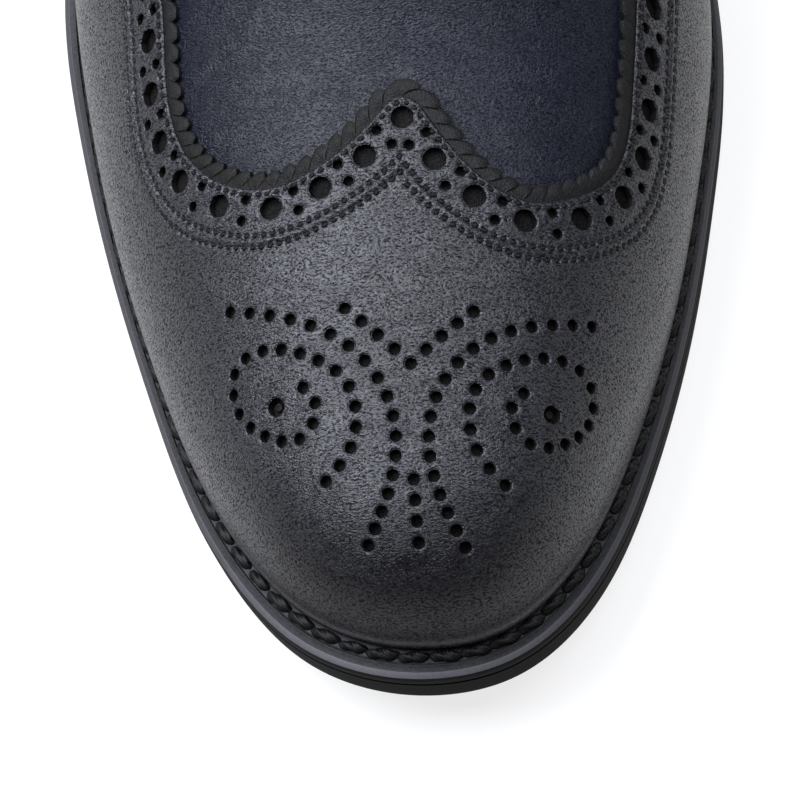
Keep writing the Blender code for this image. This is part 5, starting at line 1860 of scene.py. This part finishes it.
def navy_leather():
    """Burnished calf: fine wrinkled grain, bluer on the vamp, darker at the toe's tip, with painted shadow in the
    grain's creases and a painted highlight band above the welt towards the toe.
    """
    m = Maker("navy_calf")
    x, y, z = m.split(m.place)
    vamp = m.node("ShaderNodeAttribute", {"attribute_name": "vamp"}, {}, "Fac")
    cloud = m.noise(m.place, 38.0, 3.0, 0.55)
    patch = m.noise(m.place, 150.0, 3.0, 0.6)
    cap_blue = m.mix(cloud.step(0.35, 0.68), (0.0085, 0.0088, 0.0115), (0.0135, 0.0138, 0.0180))
    vamp_blue = m.mix(cloud.step(0.35, 0.68), (0.0050, 0.0072, 0.0180), (0.0080, 0.0112, 0.0265))
    blue = m.mix(vamp, cap_blue, vamp_blue)
    tip = 1.0 - (y + cloud * 0.020).step(-0.136, -0.112)
    blue = m.mix(tip * 0.85, blue, (0.0050, 0.0046, 0.0065))
    # A pale band painted just above the welt towards the toe: a painted highlight standing in for the white
    # floor's reflection along the upper's lower edge.
    rim = m.node("ShaderNodeAttribute", {"attribute_name": "rim"}, {}, "Fac")
    blue = m.mix(rim * 0.9, blue, (0.1100, 0.1080, 0.1200))
    moved = m.stray(m.place, 170.0, 0.0020)
    moved = m.stray(moved, 900.0, 0.00030)
    wrinkle = m.noise(m.stretch(moved, (0.80, 1.50, 1.0)), 2300.0, 2.0, 0.60)
    pore = m.noise(moved, 3600.0, 1.0, 0.5)
    soft = m.noise(m.place, 330.0, 2.0)
    # crease: the grain's hollows, where painted shadow goes.
    crease = 1.0 - (wrinkle * 0.75 + pore * 0.25).step(0.37, 0.56)
    normal = m.bump(soft, 0.00020, 0.40)
    normal = m.bump(wrinkle * 0.75 + pore * 0.25, 0.00034, 0.90, normal)
    rough = 0.30 + patch * 0.06
    values = {"Base Color": blue, "Roughness": rough, "Normal": normal, "Specular IOR Level": 0.55,
              "Coat Weight": 0.12, "Coat Roughness": 0.34, "Coat IOR": 1.45}
    # Painted shade: the grain's creases are mixed towards a dark matte shader as their shadow; the toe's tip and
    # the whole vamp are dulled the same way, and the painted highlight band is kept clear of it.
    shade = crease * (0.85 - vamp * 0.50) * (1.0 - tip * 0.5) + tip * (1.0 - rim) * 0.42 + vamp * 0.46
    return m.finish(values, (0.05, 0.06, 0.09), shade)


def plain_material(name, dark, light, scale, rough, bump, grain, coat=0.0, coat_rough=0.3, specular=0.5):
    """A mottled material with a grain of one size."""
    m = Maker(name)
    cloud = m.noise(m.place, 60.0, 3.0, 0.6)
    speck = m.noise(m.place, scale, 3.0, 0.6)
    colour = m.mix((cloud * 0.5 + speck * 0.5).step(0.35, 0.65), dark, light)
    cells = m.cells(m.stray(m.place, 500.0, 0.0004), grain)
    normal = m.bump(cells.step(0.0, 0.35) * 0.6 + speck * 0.6, bump)
    values = {"Base Color": colour, "Roughness": rough[0] + speck * (rough[1] - rough[0]), "Normal": normal,
              "Coat Weight": coat, "Coat Roughness": coat_rough, "Specular IOR Level": specular}
    return m.finish(values, light)


def thread_material(name, dark, light, rough, pitch):
    """Waxed thread with a fine twist, coloured lighter on the twist's ridges as a painted highlight on each
    strand, with a random fuzz of tone.
    """
    m = Maker(name)
    x, y, z = m.split(m.place)
    twist = ((x + y * 0.8 + z * 0.9) * (6.2832 / pitch)).sine() * 0.5 + 0.5
    fuzz = m.noise(m.place, 5200.0, 2.0)
    # Lighter on the raised strands, darker in the grooves between: a painted highlight and painted shade, mixed
    # with a random fuzz.
    colour = m.mix((twist * 0.6 + fuzz * 0.4).step(0.2, 0.8), dark, light)
    normal = m.bump(twist * 0.5 + fuzz * 0.6, 0.00007, 0.8)
    values = {"Base Color": colour, "Roughness": rough, "Normal": normal, "Specular IOR Level": 0.18}
    return m.finish(values, light)


def edge_materials():
    """Black leather for the sole's matt edge, the welt's top and its lighter bevel, whose pale grey is partly the
    burnished edge and partly a painted highlight.
    """
    made = []
    for name, dark, light, rough, specular, coat, depth in (
        ("matt_edge", (0.0035, 0.0035, 0.0035), (0.0075, 0.0073, 0.0071), 0.80, 0.08, 0.0, 0.00008),
        ("welt_top", (0.0030, 0.0030, 0.0033), (0.0190, 0.0190, 0.0210), 0.50, 0.28, 0.0, 0.00010),
        # The bevel's pale grey: partly the burnished edge's own tone, partly a painted highlight along the welt's
        # outer edge.
        ("bevel_burnish_and_highlight", (0.0340, 0.0330, 0.0370), (0.0460, 0.0450, 0.0500), 0.48, 0.40, 0.0, 0.00003),
    ):
        m = Maker(name)
        lines = m.noise(m.stretch(m.place, (60.0, 60.0, 4200.0)), 1.0, 2.0, 0.6)
        speck = m.noise(m.place, 1900.0, 3.0, 0.65)
        cloud = m.noise(m.place, 90.0, 3.0, 0.6)
        colour = m.mix((cloud * 0.3 + speck * 0.7).step(0.36, 0.68), dark, light)
        normal = m.bump(lines * 0.4 + speck * 0.6, depth, 0.8)
        values = {"Base Color": colour, "Roughness": rough + cloud * 0.10, "Normal": normal,
                  "Coat Weight": coat, "Coat Roughness": 0.30, "Specular IOR Level": specular}
        made.append(m.finish(values, light))
    return made


def lace_material():
    m = Maker("black_lace")
    uv = m.node("ShaderNodeUVMap", {"uv_map": "along_lace"}, {}, "UV")
    u, v, w = m.split(uv)
    one = (u * 7.5 + v * 12.566).sine()
    two = (u * 7.5 - v * 12.566).sine()
    plait = (one * two) * 0.5 + 0.5
    fuzz = m.noise(m.place, 4200.0, 2.0)
    # The plait's raised strands are coloured lighter than its grooves: a painted highlight on the strands, with a
    # random fuzz of tone.
    colour = m.mix((plait * 0.6 + fuzz * 0.4).step(0.25, 0.8), (0.0045, 0.0045, 0.0055), (0.019, 0.019, 0.021))
    normal = m.bump(plait * 0.8 + fuzz * 0.4, 0.00012, 0.9)
    values = {"Base Color": colour, "Roughness": 0.52, "Normal": normal, "Sheen Weight": 0.15}
    return m.finish(values, (0.016, 0.016, 0.018))


def floor_material():
    m = Maker("white_table")
    cloud = m.noise(m.place, 4.0, 2.0)
    colour = m.mix(cloud, (0.21, 0.21, 0.21), (0.22, 0.22, 0.22))
    values = {"Base Color": colour, "Roughness": 0.7, "Emission Color": (1.0, 1.0, 1.0, 1.0),
              "Emission Strength": 0.78}
    return m.finish(values, (0.9, 0.9, 0.9))


# Camera, light and floor

def make_camera():
    """The photograph's view: from above the toe, a little from the inner side, rolled."""
    rise, turn, roll = np.radians((64.71, 14.57, 15.91))
    target = np.array([0.00633, -0.11571, 0.048])
    back = np.array([np.cos(rise) * np.sin(turn), -np.cos(rise) * np.cos(turn), np.sin(rise)])
    right = unit(np.cross(-back, (0.0, 0.0, 1.0)))
    up = np.cross(right, -back)
    rolled_right = right * np.cos(roll) - up * np.sin(roll)
    rolled_up = right * np.sin(roll) + up * np.cos(roll)
    camera = bpy.data.cameras.new("camera")
    camera.sensor_width = 36.0
    camera.lens = 36.0 * 6337.0 / 800.0
    camera.clip_start = 0.05
    camera.clip_end = 20.0
    thing = bpy.data.objects.new("camera", camera)
    bpy.context.scene.collection.objects.link(thing)
    turned = Matrix(np.column_stack([rolled_right, rolled_up, back]).tolist()).to_4x4()
    turned.translation = Vector(target + back * 1.0)
    thing.matrix_world = turned
    bpy.context.scene.camera = thing


def soft_light(name, place, aim, width, height, power, colour=(1.0, 1.0, 1.0)):
    light = bpy.data.lights.new(name, "AREA")
    light.shape = "RECTANGLE"
    light.size = width
    light.size_y = height
    light.energy = power
    light.color = colour
    thing = bpy.data.objects.new(name, light)
    bpy.context.scene.collection.objects.link(thing)
    thing.location = place
    way = Vector(aim) - Vector(place)
    thing.rotation_mode = "QUATERNION"
    thing.rotation_quaternion = way.to_track_quat("-Z", "Y")
    return thing


def make_light():
    cool = (0.93, 0.96, 1.06)
    soft_light("over_left", (-0.78, 0.22, 1.40), (0.0, -0.06, 0.04), 1.35, 1.10, 54.0, cool)
    soft_light("over_right", (0.55, 0.22, 1.46), (0.0, -0.06, 0.04), 1.10, 1.00, 19.0, cool)
    world = bpy.data.worlds.new("studio")
    world.use_nodes = True
    world.node_tree.nodes["Background"].inputs["Color"].default_value = (0.95, 0.97, 1.0, 1.0)
    world.node_tree.nodes["Background"].inputs["Strength"].default_value = 0.10
    bpy.context.scene.world = world
    bpy.context.scene.view_settings.view_transform = "Standard"
    bpy.context.scene.view_settings.look = "None"


def make_floor():
    size = 3.0
    corners = [(-size, -size, 0.0), (size, -size, 0.0), (size, size, 0.0), (-size, size, 0.0)]
    mesh = bpy.data.meshes.new("floor")
    mesh.from_pydata(corners, [], [(0, 1, 2, 3)])
    mesh.materials.append(floor_material())
    thing = bpy.data.objects.new("floor", mesh)
    bpy.context.scene.collection.objects.link(thing)


def mark_leather(thing, cap=False):
    """The share of vamp colour, and of the painted highlight band just above the welt, at each corner."""
    count = len(thing.data.vertices)
    layer = thing.data.attributes.new("vamp", "FLOAT", "POINT")
    value = 0.0 if cap else 1.0
    layer.data.foreach_set("value", np.full(count, value, np.float32))
    places = np.zeros(3 * count, np.float32)
    thing.data.vertices.foreach_get("co", places)
    places = places.reshape(-1, 3)
    foot = OUTSOLE_THICKNESS + WELT_THICKNESS + STORM_LIP + 2.0 * GAP
    above = places[:, 2] - tread(places[:, 1] + 0.5 * SHOE_LENGTH) - foot
    # rim: the painted highlight band, a narrow strip about 2 mm above the storm lip, only towards the toe.
    share = np.exp(-(((above - 0.0021) / 0.0012) ** 2)) * smooth_step((-0.095 - places[:, 1]) / 0.03)
    layer = thing.data.attributes.new("rim", "FLOAT", "POINT")
    layer.data.foreach_set("value", share.astype(np.float32))


def build():
    sides = two_sides()
    upper = Upper(sides)
    front = np.linspace(0.0, upper.throat, 131)
    facing = np.linspace(upper.throat, upper.corner, 61)
    rear = np.linspace(upper.corner, 1.0, 91)
    sheet = Sheet(upper, np.concatenate([front, facing[1:], rear[1:]]), 100)
    pattern = Pattern(sheet)

    navy = navy_leather()
    black = plain_material("black_leather", (0.0016, 0.0016, 0.0018), (0.0050, 0.0048, 0.0046), 1500.0,
                           (0.52, 0.66), 0.00009, 2300.0, 0.0, 0.3, 0.22)
    cut_edge = plain_material("cut_edge", (0.0016, 0.0015, 0.0015), (0.0055, 0.0050, 0.0046), 3000.0,
                              (0.60, 0.80), 0.00010, 2500.0, 0.0, 0.3, 0.15)
    backing = plain_material("hole_backing", (0.0012, 0.0012, 0.0014), (0.0060, 0.0056, 0.0054), 3500.0,
                             (0.60, 0.80), 0.00020, 1800.0, 0.0, 0.3, 0.15)
    lining = plain_material("lining_leather", (0.300, 0.215, 0.140), (0.400, 0.300, 0.205), 900.0,
                            (0.50, 0.62), 0.00006, 2600.0)
    rubber = plain_material("black_rubber", (0.0090, 0.0090, 0.0090), (0.0170, 0.0170, 0.0170), 2200.0,
                            (0.62, 0.78), 0.00008, 2600.0)
    # Pale cream for the teeth's cut steps: partly the raw fibre edge, partly a painted highlight.
    tooth_fibre_and_highlight = plain_material("tooth_fibre_and_highlight", (0.150, 0.120, 0.088), (0.330, 0.275, 0.210), 2600.0,
                                (0.50, 0.60), 0.00005, 2600.0)
    edge, welt_top, bevel = edge_materials()
    thread = thread_material("black_thread", (0.0015, 0.0015, 0.0018), (0.0060, 0.0060, 0.0070), 0.60, 0.0006)
    rope = thread_material("welt_thread", (0.0020, 0.0020, 0.0022), (0.0120, 0.0118, 0.0112), 0.50, 0.0007)

    cap = Cap(sheet, pattern)
    wing = cap.build(navy, cut_edge)
    mark_leather(wing, True)
    finish_piece(wing, ["wing_cap"])
    finish_piece(make_studs(cap, black), [])
    strip = make_strip(cap, black, tooth_fibre_and_highlight)
    finish_piece(strip, ["edge_strip"])

    halves = []
    for k, side in enumerate((1, -1)):
        line, meet = cut_at(pattern.wing(side, HOLES_TO_EDGE - 0.0012, 0.002), feather_lines(sheet, 0.0002)[k])
        halves.append(np.vstack([line, feather_lines(sheet, 0.0002)[k][: meet + 1][::-1]]))
    cap_ring = np.vstack([halves[0], halves[1][::-1][1:-1]])
    shell = upper_mesh(sheet, pattern, navy, lining, backing, cap_ring)
    punch_eyelets(shell, sheet)
    mark_leather(shell)
    finish_piece(shell, ["upper"])
    finish_piece(eyelet_rims(sheet, cut_edge), [])
    strip_back = back_strip(sheet, navy)
    mark_leather(strip_back)
    finish_piece(strip_back, [])

    tree = repeat_tree("stitches")
    small = thread_shape("small_thread", 9, 8, 2, 1.2, 0.85, 0.30)
    rows = []
    for name, lift in (("near", CAP_TOP - 0.00024), ("far", CAP_TOP - 0.00024), ("edge", CAP_TOP - 0.00020)):
        rows += [(line, lift) for line in cap.rows[name]]
    places, ways, ups = stitch_row([r[0] for r in rows], [r[1] for r in rows], sheet)
    cap_rows = repeat("cap_stitches", tree, small, places, ways, ups, 0.00120, 0.00066, 0.10, 3, thread)
    finish_piece(cap_rows, [])
    lines, lifts = quarter_rows(sheet, pattern, cap)
    places, ways, ups = stitch_row(lines, lifts, sheet)
    more = back_rows(sheet)
    places, ways, ups = [np.vstack(pair) for pair in zip((places, ways, ups), more)]
    others = repeat("quarter_stitches", tree, small, places, ways, ups, 0.00135, 0.00052, 0.08, 5, thread)
    finish_piece(others, [])
    bpy.data.objects.remove(small, do_unlink=True)

    welt = make_welt(sides, upper, [edge, bevel, welt_top])
    finish_piece(welt, ["welt"])
    finish_piece(welt_stitches(sides, upper, tree, rope), [])
    finish_piece(make_sole(sides, edge), ["outsole"])
    lift, block = make_heel(sides, rubber, edge)
    finish_piece(lift, ["heel_lift"])
    finish_piece(block, ["heel_block"])
    finish_piece(make_sock(sides, upper, lining), ["insole"])
    tongue = make_tongue(sheet, navy, lining)
    mark_leather(tongue)
    finish_piece(tongue, ["tongue"])
    finish_piece(make_lace(sheet, lace_material()), ["lace"])


def facing_line(sheet, side, inset, spacing, start, end):
    """A flat line at an inset below the top edge, between two shares of the way."""
    k = 0 if side == 1 else 1
    shares = np.linspace(start, end, 300)
    column = sheet.column_at(shares)
    left = np.minimum(column.astype(int), len(sheet.shares) - 2)
    part = (column - left)[:, None]
    top = sheet.top[k][left] * (1 - part) + sheet.top[k][left + 1] * part
    across = sheet.across[k][left] * (1 - part) + sheet.across[k][left + 1] * part
    line = top + unit(across) * inset
    distance = along(line)
    even = np.linspace(0.0, distance[-1], int(distance[-1] / spacing) + 1)
    return np.stack([np.interp(even, distance, line[:, i]) for i in (0, 1)], -1)


def quarter_rows(sheet, pattern, cap):
    """Rows on the quarters: by the front seam, the facing's edge and the collar."""
    lines = []
    lifts = []
    upper = sheet.upper
    for k, side in enumerate((1, -1)):
        border = pattern.wing(side, HOLES_TO_EDGE + STRIP_WIDTH + 0.0008, 0.001)
        for shift in (0.0012, 0.0028):
            line = cut_at(seam_line(pattern, side, shift, STITCH_PITCH), border)[0][1:-1]
            lines.append(line)
            lifts.append(QUARTER_STEP + 0.00004)
        for inset in (0.0022, 0.0038):
            lines.append(facing_line(sheet, side, inset, STITCH_PITCH, upper.throat + 0.004, upper.corner - 0.002))
            lifts.append(QUARTER_STEP + 0.00004)
        lines.append(facing_line(sheet, side, 0.0024, STITCH_PITCH, upper.corner + 0.004, 0.985))
        lifts.append(QUARTER_STEP + 0.00004)
    return lines, lifts


def back_rows(sheet):
    """Rows up both sides of the strip at the heel's back."""
    result = [[], [], []]
    for side in (1, -1):
        k = 0 if side == 1 else 1
        for way in np.arange(0.06, 0.96, 0.0016 / float(sheet.rise[k, -1])):
            half = 0.0048 + 0.0022 * smooth_step((way - 0.55) / 0.45) - 0.0012
            share = 1.0 - half / sheet.upper.sides[side].length
            place, normal = sheet.at(k, sheet.column_at(share), way)
            beyond, same = sheet.at(k, sheet.column_at(share), way + 0.01)
            result[0].append(place + normal * (QUARTER_STEP + 0.0007))
            result[1].append(unit(beyond - place))
            result[2].append(normal)
    return [np.array(r) for r in result]


make_camera()
make_light()
make_floor()
build()
